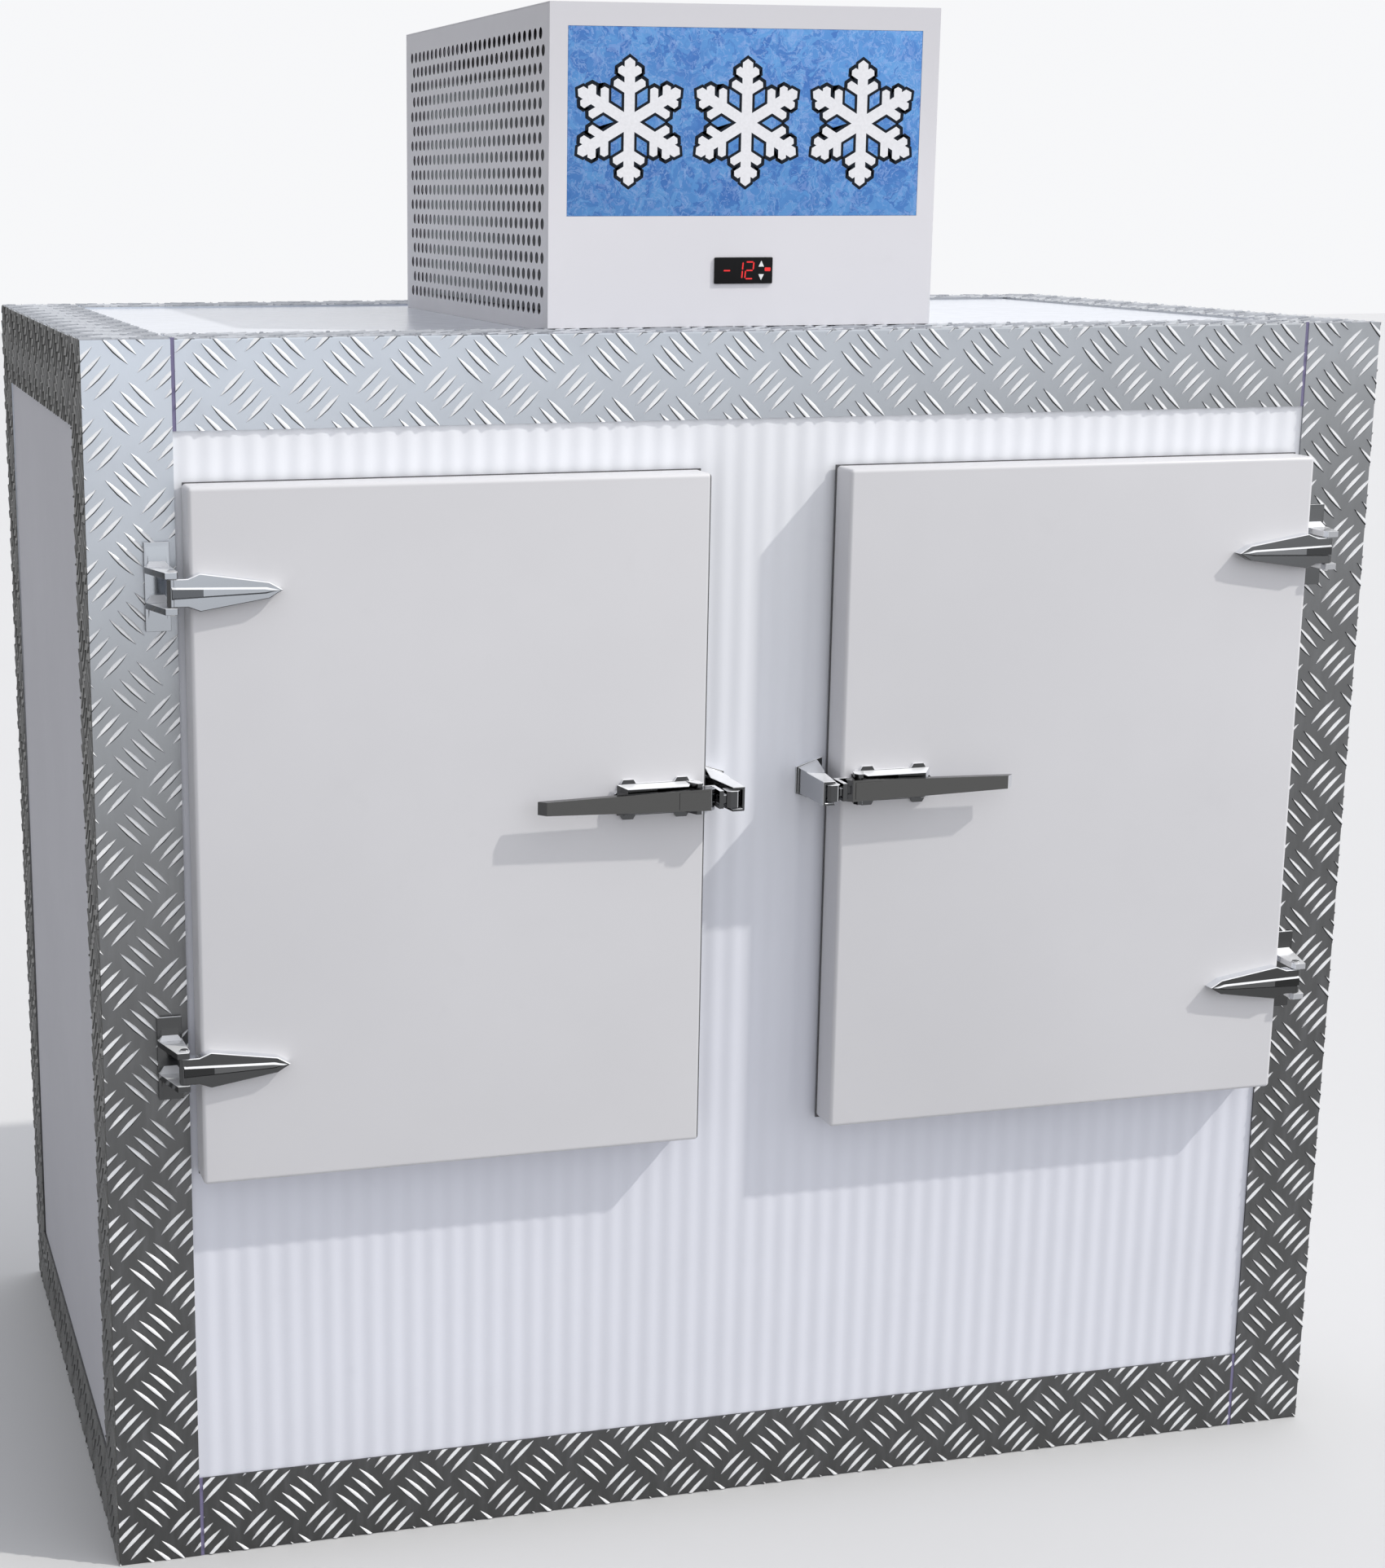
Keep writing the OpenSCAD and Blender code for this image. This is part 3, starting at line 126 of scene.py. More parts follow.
class Web:  # a node tree, with short ways to add to it
    def __init__(self, tree):
        self.tree = tree

    def node(self, kind, settings=None, sockets=(), out=0):
        made = self.tree.nodes.new(kind)
        for key, value in (settings or {}).items():
            if key == "stops":
                ramp = made.color_ramp
                while len(ramp.elements) < len(value):
                    ramp.elements.new(1)
                for element, (place, tone) in zip(ramp.elements, value):
                    element.position, element.color = place, tone
            else:
                setattr(made, key, value)
        for key, value in sockets.items() if isinstance(sockets, dict) else enumerate(sockets):
            self.feed(made.inputs[key], value)
        return None if out is None else Value(self, made.outputs[out])

    def feed(self, socket, value):
        if isinstance(value, Value):
            self.tree.links.new(value.socket, socket)
        else:
            socket.default_value = value

    def part(self, vector, name):
        return self.node("ShaderNodeSeparateXYZ", None, [vector], name)

    def mix(self, share, first, second):
        tones = [(*tone, 1.0) if isinstance(tone, tuple) and len(tone) == 3 else tone for tone in (first, second)]
        return self.node("ShaderNodeMix", {"data_type": "RGBA"}, {0: share, 6: tones[0], 7: tones[1]}, 2)


socketNames = {
    "color": "Base Color",
    "rough": "Roughness",
    "metal": "Metallic",
    "coat": "Coat Weight",
    "coatRough": "Coat Roughness",
    "glow": "Emission Color",
    "glowPower": "Emission Strength",
    "normal": "Normal",
    "specular": "Specular IOR Level",
}


class Finish(Web):
    def __init__(self, name, **fixed):
        self.material = bpy.data.materials.new(name)
        self.material.use_nodes = True
        super().__init__(self.material.node_tree)
        self.tree.nodes.clear()
        self.shader = self.tree.nodes.new("ShaderNodeBsdfPrincipled")
        self.output = self.tree.nodes.new("ShaderNodeOutputMaterial")
        self.tree.links.new(self.shader.outputs[0], self.output.inputs[0])
        self.spot = self.node("ShaderNodeTexCoord", out="Object")
        for key, value in fixed.items():
            self.put(key, value)

    def put(self, key, value):
        isTone = isinstance(value, tuple) and len(value) == 3
        self.feed(self.shader.inputs[socketNames[key]], (*value, 1.0) if isTone else value)

    def axis(self, name):
        return self.part(self.spot, name)

    def normal(self, name):  # which way the surface faces, on the resting object
        return self.part(self.node("ShaderNodeTexCoord", out="Normal"), name)

    def stretched(self, x, y, z):
        return self.node("ShaderNodeVectorMath", {"operation": "MULTIPLY"}, [self.spot, (x, y, z)])

    def noise(self, scale, detail=2.0, rough=0.5, spot=None):
        sockets = {"Vector": spot or self.spot, "Scale": scale, "Detail": detail, "Roughness": rough}
        return self.node("ShaderNodeTexNoise", None, sockets, "Fac")

    def bump(self, height, strength, distance):
        sockets = {"Strength": strength, "Distance": distance, "Height": height}
        self.put("normal", self.node("ShaderNodeBump", None, sockets, "Normal"))


def shade(tone, by):
    return tuple(min(1.0, channel * by) for channel in tone)


# powder coated or pre-painted sheet; high is a second tone reached between two heights
def coatedSheet(name, tone, rough, speckle=0.012, wave=0.0, high=None, shine=0.5, rim=0.0, leftShade=0.0):
    made = Finish(name, specular=shine)
    cloud = made.noise(3.2, 3.0, 0.55)
    grime = made.noise(14.0, 4.0, 0.6)
    color = made.mix(cloud.ease(0.3, 0.75), shade(tone, 0.975), shade(tone, 1.015))
    if high:
        color = made.mix(made.axis("Z").ease(*high[:2]), color, high[2])
    if rim:  # painted shade on the rounded edge beside the middle post
        color = made.mix(made.normal("X").ease(0.3, 0.6) * (made.axis("X") < -0.05) * rim, color, (0.03, 0.03, 0.033))
    # painted shade: faces that look left are darkened
    if leftShade:
        color = made.mix((0 - made.normal("X")).ease(0.5, 0.9) * leftShade, color, (0.0, 0.0, 0.0))
    made.put("color", made.mix(grime.ease(0.62, 0.8) * 0.2, color, shade(tone, 0.9)))
    made.put("rough", made.noise(38.0, 3.0) * 0.14 + (rough - 0.07))
    peel = made.noise(520.0, 2.0)
    made.bump(peel * speckle + made.noise(2.1, 1.0) * wave, 0.35, 0.004)
    return made.material


treadTones = {  # (share of the height, tone), from the floor up
    "left": [(0.03, 0.095), (0.34, 0.128), (0.47, 0.158), (0.6, 0.25), (0.73, 0.42), (0.86, 0.62), (0.98, 0.75)],
    "right": [(0.03, 0.115), (0.34, 0.115), (0.53, 0.130), (0.73, 0.175), (0.86, 0.250), (0.93, 0.34), (0.98, 0.44)],
    "blue": 0.16,
    "halfSpan": 0.78,
    "topLeg": 1.5062,  # above this height a leg faces up
    "sideLeg": -0.8228,  # left of this a leg faces left
}


def darkened(made, tone, share):
    return made.mix(share, tone, (0.0, 0.0, 0.0))


def paintedReflectionTone(made):  # bare aluminium with painted reflection: bright at the top, painted greyer towards the floor and the right
    height = made.axis("Z") / (box["height"] / 1000)
    tones = []
    for side in ("left", "right"):
        stops = []
        for place, tone in treadTones[side]:
            blue = tone * (1 + treadTones["blue"] * (tone - 0.1))
            stops.append((place, (tone * (1 - 0.10 * tone), tone, blue, 1.0)))
        tones.append(made.node("ShaderNodeValToRGB", {"stops": stops}, {0: height}))
    half = treadTones["halfSpan"]
    return made.mix((made.axis("X") + half) / (2 * half), *tones)


def onTopLeg(made):  # 1 on the legs that face up
    return made.axis("Z") > treadTones["topLeg"]


def onSideLeg(made):  # 1 on the legs that face left, which carry painted shade
    return made.axis("X") < treadTones["sideLeg"]


def treadSurface(name, rough, grain):
    made = Finish(name, specular=0.05)
    brushed = made.noise(60.0, 4.0, 0.6, made.stretched(1.0, 1.0, 0.18))
    blotch = made.noise(9.0, 4.0, 0.62)
    # painted shade: legs that face up are painted darker, and legs that face left much darker
    tone = made.mix(onTopLeg(made) * 0.9, paintedReflectionTone(made), (0.36, 0.38, 0.42))
    tone = made.mix(onSideLeg(made), tone, (0.125, 0.125, 0.118))
    made.put("metal", 1 - onSideLeg(made) * 0.88)
    tone = made.mix(blotch.ease(0.45, 0.8) * 0.1, tone, (0.12, 0.12, 0.12))
    made.put("color", made.mix(brushed.ease(0.4, 0.75) * 0.05, tone, (0.7, 0.72, 0.76)))
    made.put("rough", made.noise(30.0, 3.0) * 0.14 + (rough - 0.07))
    made.bump(made.noise(420.0, 3.0, 0.6, made.stretched(1.0, 1.0, 0.3)), grain, 0.0006)
    return made.material


def barSurface(name):  # the raised bars: worn bright and painted near white as a highlight, with painted shade along their lower edges
    made = Finish(name, specular=0.1)
    worn = made.noise(140.0, 3.0, 0.6)
    # painted shade on the bars' downward facets
    lowerEdgeShade = 1 - made.normal("Z").ease(-0.5, -0.2)
    tone = made.mix(worn.ease(0.3, 0.75), (0.95, 0.96, 0.98), (1.0, 1.0, 1.0))
    # painted shade on the bars of the legs that face up
    tone = made.mix(onTopLeg(made) * 0.85, tone, (0.40, 0.42, 0.46))
    # painted shade on the facets that face up and to the right, towards the sun
    sunSideShade = made.normal("X").ease(0.15, 0.4) * made.normal("Z").ease(0.15, 0.4) * made.axis("X").ease(-0.3, 0.7)
    tone = made.mix(sunSideShade * 0.5, tone, paintedReflectionTone(made))
    tone = made.mix(lowerEdgeShade * 0.98, tone, darkened(made, paintedReflectionTone(made), 0.93))
    # painted shade on the bars of the legs that face left
    made.put("color", made.mix(onSideLeg(made) * 0.9, tone, (0.10, 0.10, 0.095)))
    made.put("metal", 0.3 - onSideLeg(made) * 0.15)
    made.put("rough", worn * 0.2 + 0.22)
    made.bump(made.noise(600.0, 2.0), 0.08, 0.0004)
    return made.material


def polished(name, tone, rough):
    made = Finish(name, metal=1.0)
    made.put("color", made.mix(made.noise(22.0, 3.0).ease(0.35, 0.8), tone, shade(tone, 0.86)))
    made.put("rough", made.noise(90.0, 4.0, 0.6) * 0.05 + rough)
    made.bump(made.noise(700.0, 2.0), 0.04, 0.0004)
    return made.material


plated = {
    "crown": (0.93, 0.94, 0.96),
    "lugAhead": 0.012,  # how far before the box's front a lug, its tip and a strap's rib begin
    "tipAhead": 0.030,
    "ribAhead": 0.063,
    "pinSide": 0.70,
    "upperHinge": 0.9,
}


# plated castings with painted reflection: flat fronts painted dull, and edges and tops painted bright
def reflectionPaintedChrome(name, frontTone, rough=0.1, crown=plated["crown"], crownMetal=0.25, sides=0.96, part=None):
    made = Finish(name, specular=0.4)
    front = (0 - made.normal("Y")).ease(0.90, 0.97)
    above = made.normal("Z").ease(0.12, 0.4)
    under = (0 - made.normal("Z")).ease(0.12, 0.45)
    left = (0 - made.normal("X")).ease(0.08, 0.4)
    if part:
        left = left.work("MAXIMUM", left, made.normal("X").ease(0.08, 0.4))
    level = 0.0
    if part == "frame":  # painted reflection: the lugs of the right frames are painted paler
        lug = (made.axis("X") > 0) * (made.axis("Y") < frontY - plated["lugAhead"])
        left = left * (1 - lug * 0.85)
    if part == "strap":  # a strap's level top is left as bare chrome
        level = 1 - (0 - made.normal("Y")).ease(0.2, 0.5)
        left = left * (1 - above * level)
    cloud = made.noise(22.0, 3.0).ease(0.35, 0.8)
    tone = made.mix(cloud, (0.84, 0.86, 0.89), (0.92, 0.93, 0.95))
    tone = made.mix(left * sides, tone, (0.045, 0.045, 0.045))
    tone = made.mix(under * 0.92, tone, (0.07, 0.07, 0.07))
    tone = made.mix(above * (1 - level), tone, crown)
    if part:  # painted reflection on the strap's rib: its face is painted dark beside the pin and lighter towards the tip
        upperLeft = (made.axis("X") < 0) * (made.axis("Z") > plated["upperHinge"])
        frontTone = darkened(made, paintedReflectionTone(made), 0.38 - upperLeft * 0.38)
        across = made.axis("X")
        byPin = across.work("ABSOLUTE", across) > plated["pinSide"]
        face = made.mix(byPin, paintedReflectionTone(made), darkened(made, paintedReflectionTone(made), 0.7))
        frontTone = made.mix(made.axis("Y") < frontY - plated["ribAhead"], frontTone, face)
    # painted reflection: the tips of the right frames' lugs are painted lighter
    if part == "frame":
        tip = lug * (made.axis("Y") < frontY - plated["tipAhead"])
        frontTone = made.mix(tip, frontTone, (0.50, 0.51, 0.53))
    made.put("color", made.mix(front, tone, frontTone))
    made.put("metal", 1 - above * (1 - level) * (1 - crownMetal))
    made.put("rough", made.noise(90.0, 4.0, 0.6) * 0.05 + rough)
    made.bump(made.noise(700.0, 2.0), 0.04, 0.0004)
    return made.material


def mouldedPlastic(name, tone, rough, grain=0.2, shine=0.5, cloud=0.06):
    made = Finish(name, specular=shine)
    patches = made.noise(30.0, 3.0).ease(0.3, 0.8)
    made.put("color", made.mix(patches, shade(tone, 1 - cloud), shade(tone, 1 + cloud * 0.8)))
    made.put("rough", made.noise(60.0, 3.0) * 0.16 + (rough - 0.08))
    made.bump(made.noise(900.0, 2.0), grain, 0.0006)
    return made.material


def castPaint(name, tone, rough):
    made = Finish(name, specular=0.45)
    worn = made.noise(26.0, 5.0, 0.65)
    made.put("color", made.mix(worn.ease(0.55, 0.8) * 0.4, tone, shade(tone, 1.8)))
    made.put("rough", made.noise(45.0, 3.0) * 0.2 + (rough - 0.1))
    made.bump(made.noise(260.0, 3.0), 0.25, 0.001)
    return made.material


def litFinish(name, tone, power):
    made = Finish(name, glowPower=power)
    made.put("color", made.mix(made.noise(300.0), shade(tone, 0.8), tone))
    made.put("glow", made.mix(made.noise(220.0), shade(tone, 0.85), tone))
    made.put("rough", made.noise(200.0) * 0.1 + 0.3)
    return made.material


def millSheet(name, tone, rough):  # plain rolled aluminium or copper
    made = Finish(name, metal=1.0)
    rolled = made.noise(35.0, 4.0, 0.6, made.stretched(0.1, 1.0, 1.0))
    made.put("color", made.mix(rolled.ease(0.3, 0.8), shade(tone, 0.9), tone))
    made.put("rough", rolled * 0.18 + (rough - 0.09))
    made.bump(made.noise(500.0, 2.0, 0.5, made.stretched(0.1, 1.0, 1.0)), 0.12, 0.0005)
    return made.material


finishes = {
    # painted reflection: the front skin is painted lighter towards the top
    "skin": coatedSheet("panelWhite", (0.80, 0.815, 0.89), 0.36, 0.010, high=(0.5, 1.45, (0.90, 0.915, 0.955))),
    # painted shade: the side, floor and back panels get a darker copy of the panels' white
    "side": coatedSheet("sidePanelWhite", (0.64, 0.64, 0.68), 0.6, 0.010, 0.03, shine=0.06),
    # painted shade: the roof panel gets a darker copy of the panels' white
    "roof": coatedSheet("roofPanelWhite", (0.65, 0.68, 0.75), 0.22, 0.006, 0.04),
    "inside": coatedSheet("insideWhite", (0.80, 0.82, 0.86), 0.38, 0.010),
    # painted shade on the door's rounded edge beside the middle post
    "door": coatedSheet("doorWhite", (0.72, 0.715, 0.735), 0.40, 0.014, rim=0.97),
    # painted reflection: the casing is painted darker towards the top; its left-facing sides get painted shade
    "casing": coatedSheet(
        "casingGrey", (0.85, 0.84, 0.875), 0.42, 0.014,
        high=(1.6, 1.89, (0.75, 0.74, 0.77)), shine=0.25, leftShade=0.15,
    ),
    "lining": mouldedPlastic("liningPlastic", (0.78, 0.79, 0.81), 0.42, cloud=0.015),
    "plate": treadSurface("treadPlate", 0.34, 0.14),
    "bars": barSurface("treadBars"),
    # plated hardware, with painted reflection and painted shade by facing
    "chrome": reflectionPaintedChrome("chromePlate", None, part="frame"),
    "strap": reflectionPaintedChrome("strapPlate", None, part="strap"),
    "lever": reflectionPaintedChrome("leverPlate", (0.115, 0.115, 0.112), 0.14, (0.13, 0.13, 0.127), 1.0),
    "latch": reflectionPaintedChrome("latchPlate", (0.09, 0.092, 0.094), 0.12),
    "strike": reflectionPaintedChrome("strikePlate", (0.09, 0.092, 0.094), 0.12, sides=0.55),
    # painted reflection: white fillets at the hinge lugs
    "weld": coatedSheet("paintedReflectionWhite", (0.93, 0.94, 0.96), 0.3, 0.02),
    "pin": polished("pinSteel", (0.62, 0.62, 0.63), 0.18),
    "gasket": mouldedPlastic("gasketRubber", (0.10, 0.10, 0.105), 0.62, 0.3),
    "seam": mouldedPlastic("seamSealant", (0.20, 0.18, 0.31), 0.55, 0.4),
    "black": mouldedPlastic("blackPlastic", (0.018, 0.018, 0.020), 0.32),
    "display": mouldedPlastic("displayBlack", (0.006, 0.006, 0.007), 0.3, 0.1, 0.15),
    "key": mouldedPlastic("keyWhite", (0.96, 0.96, 0.96), 0.35, 0.1),
    "motor": castPaint("motorBlack", (0.035, 0.036, 0.04), 0.45),
    "mill": millSheet("millAluminium", (0.74, 0.75, 0.77), 0.36),
    "copper": millSheet("copperPipe", (0.70, 0.36, 0.22), 0.32),
    "lamp": coatedSheet("lampWhite", (0.88, 0.89, 0.90), 0.45),
}
print("finishes made")

# mesh helpers: pieces are worked in millimetres, with y from the box's front face


def block(bm, low, high):
    low, high = Vector(low), Vector(high)
    place = Matrix.Translation((low + high) / 2) @ Matrix.Diagonal((*(high - low), 1))
    return bmesh.ops.create_cube(bm, size=1, matrix=place)["verts"]


def ofKind(parts, kind):
    return [part for part in parts if isinstance(part, kind)]


def boxOf(node):  # a CAD node's low and high corners, in millimetres
    return [(corner - toRow.translation) * 1000 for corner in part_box(node)]


def prism(bm, outline, travel):  # a flat outline pulled along travel into a closed solid
    face = bm.faces.new([bm.verts.new(point) for point in outline])
    grown = bmesh.ops.extrude_face_region(bm, geom=[face], use_keep_orig=True)["geom"]
    top = ofKind(grown, bmesh.types.BMVert)
    bmesh.ops.translate(bm, vec=Vector(travel), verts=top)
    return list(face.verts) + top


def hull(bm, points):  # the closed solid round a few points
    made = bmesh.ops.convex_hull(bm, input=[bm.verts.new(point) for point in points])
    bmesh.ops.delete(bm, geom=made["geom_interior"], context="VERTS")
    faces = ofKind(made["geom"], bmesh.types.BMFace)
    edges = list({edge for face in faces for edge in face.edges})
    bmesh.ops.dissolve_limit(bm, angle_limit=math.radians(1), verts=[], edges=edges)


def rod(bm, radius, start, travel, segments=32):
    travel = Vector(travel)
    turn = Vector((0, 0, 1)).rotation_difference(travel).to_matrix().to_4x4()
    place = Matrix.Translation(Vector(start) + travel / 2) @ turn
    shape = {"segments": segments, "radius1": radius, "radius2": radius, "depth": travel.length, "matrix": place}
    return bmesh.ops.create_cone(bm, cap_ends=True, **shape)["verts"]


def edgesOf(verts):
    kept = set(verts)
    return list({edge for vert in verts for edge in vert.link_edges if edge.other_vert(vert) in kept})


def sharp(edges, degrees):
    return [edge for edge in edges if edge.is_manifold and edge.calc_face_angle(0) > math.radians(degrees)]


def soften(bm, edges, width, segments=2):
    bmesh.ops.bevel(
        bm, geom=edges, offset=width, offset_type="OFFSET", segments=segments,
        profile=0.5, affect="EDGES", material=-1, clamp_overlap=True,
    )


def wholeOf(bm):
    return bm.verts[:] + bm.edges[:] + bm.faces[:]


def addPart(bm, part, place=None):  # moves one bmesh into another
    mesh = bpy.data.meshes.new("part")
    part.to_mesh(mesh)
    part.free()
    if place:
        mesh.transform(place)
    bm.from_mesh(mesh)
    bpy.data.meshes.remove(mesh)


def makePiece(bm, name, body, finish, nodes=(), side=1, smooth=30, place=toRow):
    bmesh.ops.transform(bm, matrix=place @ Matrix.Diagonal((side, 1, 1, 1)), verts=bm.verts)
    bmesh.ops.recalc_face_normals(bm, faces=bm.faces)
    mesh = bpy.data.meshes.new(name)
    bm.to_mesh(mesh)
    bm.free()
    for part in [finish] if isinstance(finish, str) else finish:
        mesh.materials.append(finishes[part])
    piece = bpy.data.objects.new(name, mesh)
    bpy.context.scene.collection.objects.link(piece)
    mesh.shade_smooth()
    mesh.set_sharp_from_angle(angle=math.radians(smooth))
    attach(piece, body)
    if nodes:
        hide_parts(*nodes)


# a CAD solid with its edges broken
def easedCopy(node, name, body, finish, width=0.5, segments=1, smooth=14):
    bm = bmesh.new()
    bm.from_mesh(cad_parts[node].data)
    bmesh.ops.remove_doubles(bm, verts=bm.verts, dist=2e-6)
    bmesh.ops.dissolve_limit(bm, angle_limit=math.radians(1.5), verts=bm.verts, edges=bm.edges)
    soften(bm, sharp(bm.edges, 28), width * 0.001, segments)
    makePiece(bm, name, body, finish, [node], smooth=smooth, place=Matrix.Identity(4))


def refinish(node, finish):
    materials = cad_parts[node].data.materials
    materials.clear()
    materials.append(finishes[finish])


# tread plate trims

tread = {
    "pitch": 79.6, "length": 43.6, "width": 6.2, "height": 1.5, "step": 9.95,
    "facets": ((0.85, 0.98, 0.48), (0.15, 0.95, 0.45)),  # share of the height, then length and width left
    "sunk": 0.1,
    "sheet": 2.5,
    "bend": 2.0,
}
trim = {"leg": 105.0, "frontLeg": 104.0, "baseFlat": 60.0, "joint": 4.5, "clear": 0.4, "cornerFill": 101.0}


def treadTile():
    half = tread["length"] / 2
    bar = bmesh.new()
    ring = bmesh.ops.create_circle(bar, cap_ends=True, segments=12, radius=half)["verts"]
    for vert in ring:
        reach = vert.co.x / half
        vert.co.y = math.copysign(tread["width"] / 2 * (1 - reach * reach), vert.co.y) if abs(reach) < 0.999 else 0
    top = list(bar.faces)[0]
    for rise, along, across in tread["facets"]:
        keep = len(bar.faces) == 1  # the first face stays as the bar's underside
        region = [top] + ([] if keep else list(top.edges))
        grown = bmesh.ops.extrude_face_region(bar, geom=region, use_keep_orig=keep)["geom"]
        top = ofKind(grown, bmesh.types.BMFace)[0]
        bmesh.ops.scale(bar, vec=(along, across, 1), verts=top.verts)
        bmesh.ops.translate(bar, vec=(0, 0, rise * (tread["height"] + tread["sunk"])), verts=top.verts)
    bmesh.ops.translate(bar, vec=(0, 0, -tread["sunk"]), verts=bar.verts)
    bmesh.ops.recalc_face_normals(bar, faces=bar.faces)
    for face in bar.faces:
        face.material_index = 1
    single = bpy.data.meshes.new("treadBar")
    bar.to_mesh(single)
    bar.free()
    tile = bmesh.new()
    for centre, angle, way in ((0, 45, (-1, 1)), (tread["pitch"] / 2, -45, (1, 1))):
        for count in range(4):
            copy = single.copy()
            shift = (count - 1.5) * tread["step"]
            place = Matrix.Translation((centre + way[0] * shift, centre + way[1] * shift, 0))
            copy.transform(place @ Matrix.Rotation(math.radians(angle), 4, "Z"))
            tile.from_mesh(copy)
            bpy.data.meshes.remove(copy)
    mesh = bpy.data.meshes.new("treadTile")
    tile.to_mesh(mesh)
    tile.free()
    bpy.data.meshes.remove(single)
    return mesh


tileMesh = treadTile()


def addBars(bm, origin, across, down, outward, window, offset):
    # the raised bars of one flat leg: window is its (u, v) rectangle, offset the place of one group
    lowU, lowV, highU, highV = window
    pitch = tread["pitch"]
    bars = bmesh.new()
    for column in range(math.floor((lowU - offset[0]) / pitch) - 1, math.ceil((highU - offset[0]) / pitch) + 2):
        for row in range(math.floor((lowV - offset[1]) / pitch) - 1, math.ceil((highV - offset[1]) / pitch) + 2):
            copy = tileMesh.copy()
            copy.transform(Matrix.Translation((offset[0] + column * pitch, offset[1] + row * pitch, 0)))
            bars.from_mesh(copy)
            bpy.data.meshes.remove(copy)
    cuts = [((lowU, 0, 0), (-1, 0, 0)), ((highU, 0, 0), (1, 0, 0))]
    cuts += [((0, lowV, 0), (0, -1, 0)), ((0, highV, 0), (0, 1, 0))]
    for point, normal in cuts:
        bmesh.ops.bisect_plane(bars, geom=wholeOf(bars), dist=1e-4, plane_co=point, plane_no=normal, clear_outer=True)
        rim = [edge for edge in bars.edges if edge.is_boundary]
        for face in bmesh.ops.holes_fill(bars, edges=rim, sides=0)["faces"]:
            face.material_index = 1
    place = Matrix((across, down, outward)).transposed().to_4x4()
    place.translation = origin
    addPart(bm, bars, place)


def plateAngle(bm, outline, travel, bendCorner):  # an L-shaped sheet with its outer bend rounded
    verts = prism(bm, outline, travel)
    corner = Vector(bendCorner)
    way = Vector(travel).normalized()

    def onBend(vert):
        offset = vert.co - corner
        return (offset - way * offset.dot(way)).length < 0.01

    bend = [edge for edge in edgesOf(verts) if all(onBend(vert) for vert in edge.verts)]
    soften(bm, bend, tread["bend"], 3)


halfW, deep, tall, relief = box["halfWidth"], box["depth"], box["height"], tread["height"]
inner = relief + tread["sheet"]
legW, clear = trim["leg"], trim["clear"]
frontEdge = halfW - trim["frontLeg"]


def cornerTrim(name, nodes, sides, offset, back=False):
    bm = bmesh.new()
    for side in sides:
        part = bmesh.new()
        out, edge = halfW - relief, halfW - inner
        outline = [
            (out, relief, 0), (out, legW, 0), (edge, legW, 0),
            (edge, inner, 0), (frontEdge, inner, 0), (frontEdge, relief, 0),
        ]
        plateAngle(part, outline, (0, 0, tall - relief), (out, relief, 0))
        start, drop = offset[0] - halfW, offset[1]  # the pattern's place from the middle and from the top
        if side < 0:  # mirrored later, which swaps its two groups
            start, drop = halfW - offset[0] - tread["pitch"] / 2, offset[1] - tread["pitch"] / 2
        window = (frontEdge, relief, out - clear, tall)
        addBars(part, (0, relief, tall), (1, 0, 0), (0, 0, -1), (0, -1, 0), window, (start, drop))
        window = (halfW + relief + clear, relief, halfW + legW, tall)
        addBars(part, (out, -halfW, tall), (0, 1, 0), (0, 0, -1), (1, 0, 0), window, (start, drop))
        place = Matrix.Diagonal((side, -1 if back else 1, 1, 1))
        place.translation.y = deep if back else 0
        bmesh.ops.transform(part, matrix=place, verts=part.verts)
        addPart(bm, part)
    makePiece(bm, name, "cabinet", ["plate", "bars"], nodes, smooth=12)


cornerTrim("treadCornerLeft", ["corner_trim_front_left"], [-1], (55.5, -1.0))
cornerTrim("treadCornerRight", ["corner_trim_front_right"], [1], (69.0, 0.0))
cornerTrim("treadCornersBack", ["corner_trims_back"], [-1, 1], (40.0, 12.0), True)
railX = frontEdge - trim["joint"]


def railTrim(name, node, parts):
    bm = bmesh.new()
    for top, back, offset in parts:
        part = bmesh.new()
        left, right = halfW - railX, halfW + railX
        if top:
            foot, high, under = tall - legW, tall - relief, tall - inner
            profile = [(relief, foot), (relief, high), (legW, high), (legW, under), (inner, under), (inner, foot)]
            corner = (-railX, relief, high)
        else:
            flat = trim["baseFlat"]
            profile = [(relief, legW), (relief, 0), (flat, 0), (flat, inner), (inner, inner), (inner, legW)]
            corner = (-railX, relief, 0)
        plateAngle(part, [(-railX, y, z) for y, z in profile], (2 * railX, 0, 0), corner)
        if top:
            window = (left, relief + clear, right, legW)
            addBars(part, (-halfW, relief, tall), (1, 0, 0), (0, 0, -1), (0, -1, 0), window, offset)
            window = (left, -legW, right, -relief - clear)
            addBars(part, (-halfW, 0, high), (1, 0, 0), (0, -1, 0), (0, 0, 1), window, offset)
        else:
            window = (left, 0, right, trim["frontLeg"])
            addBars(part, (-halfW, relief, legW), (1, 0, 0), (0, 0, -1), (0, -1, 0), window, offset)
        if back:
            place = Matrix.Diagonal((1, -1, 1, 1))
            place.translation.y = deep
            bmesh.ops.transform(part, matrix=place, verts=part.verts)
        addPart(bm, part)
    makePiece(bm, name, "cabinet", ["plate", "bars"], [node], smooth=12)


railTrim("treadTopFront", "top_trim_front", [(True, False, (69.5, 27.0))])
railTrim("treadBaseFront", "base_trim_front", [(False, False, (69.5, 42.5))])
railTrim("treadRailsBack", "back_rail_trims", [(True, True, (69.5, 27.0)), (False, True, (69.5, 42.5))])


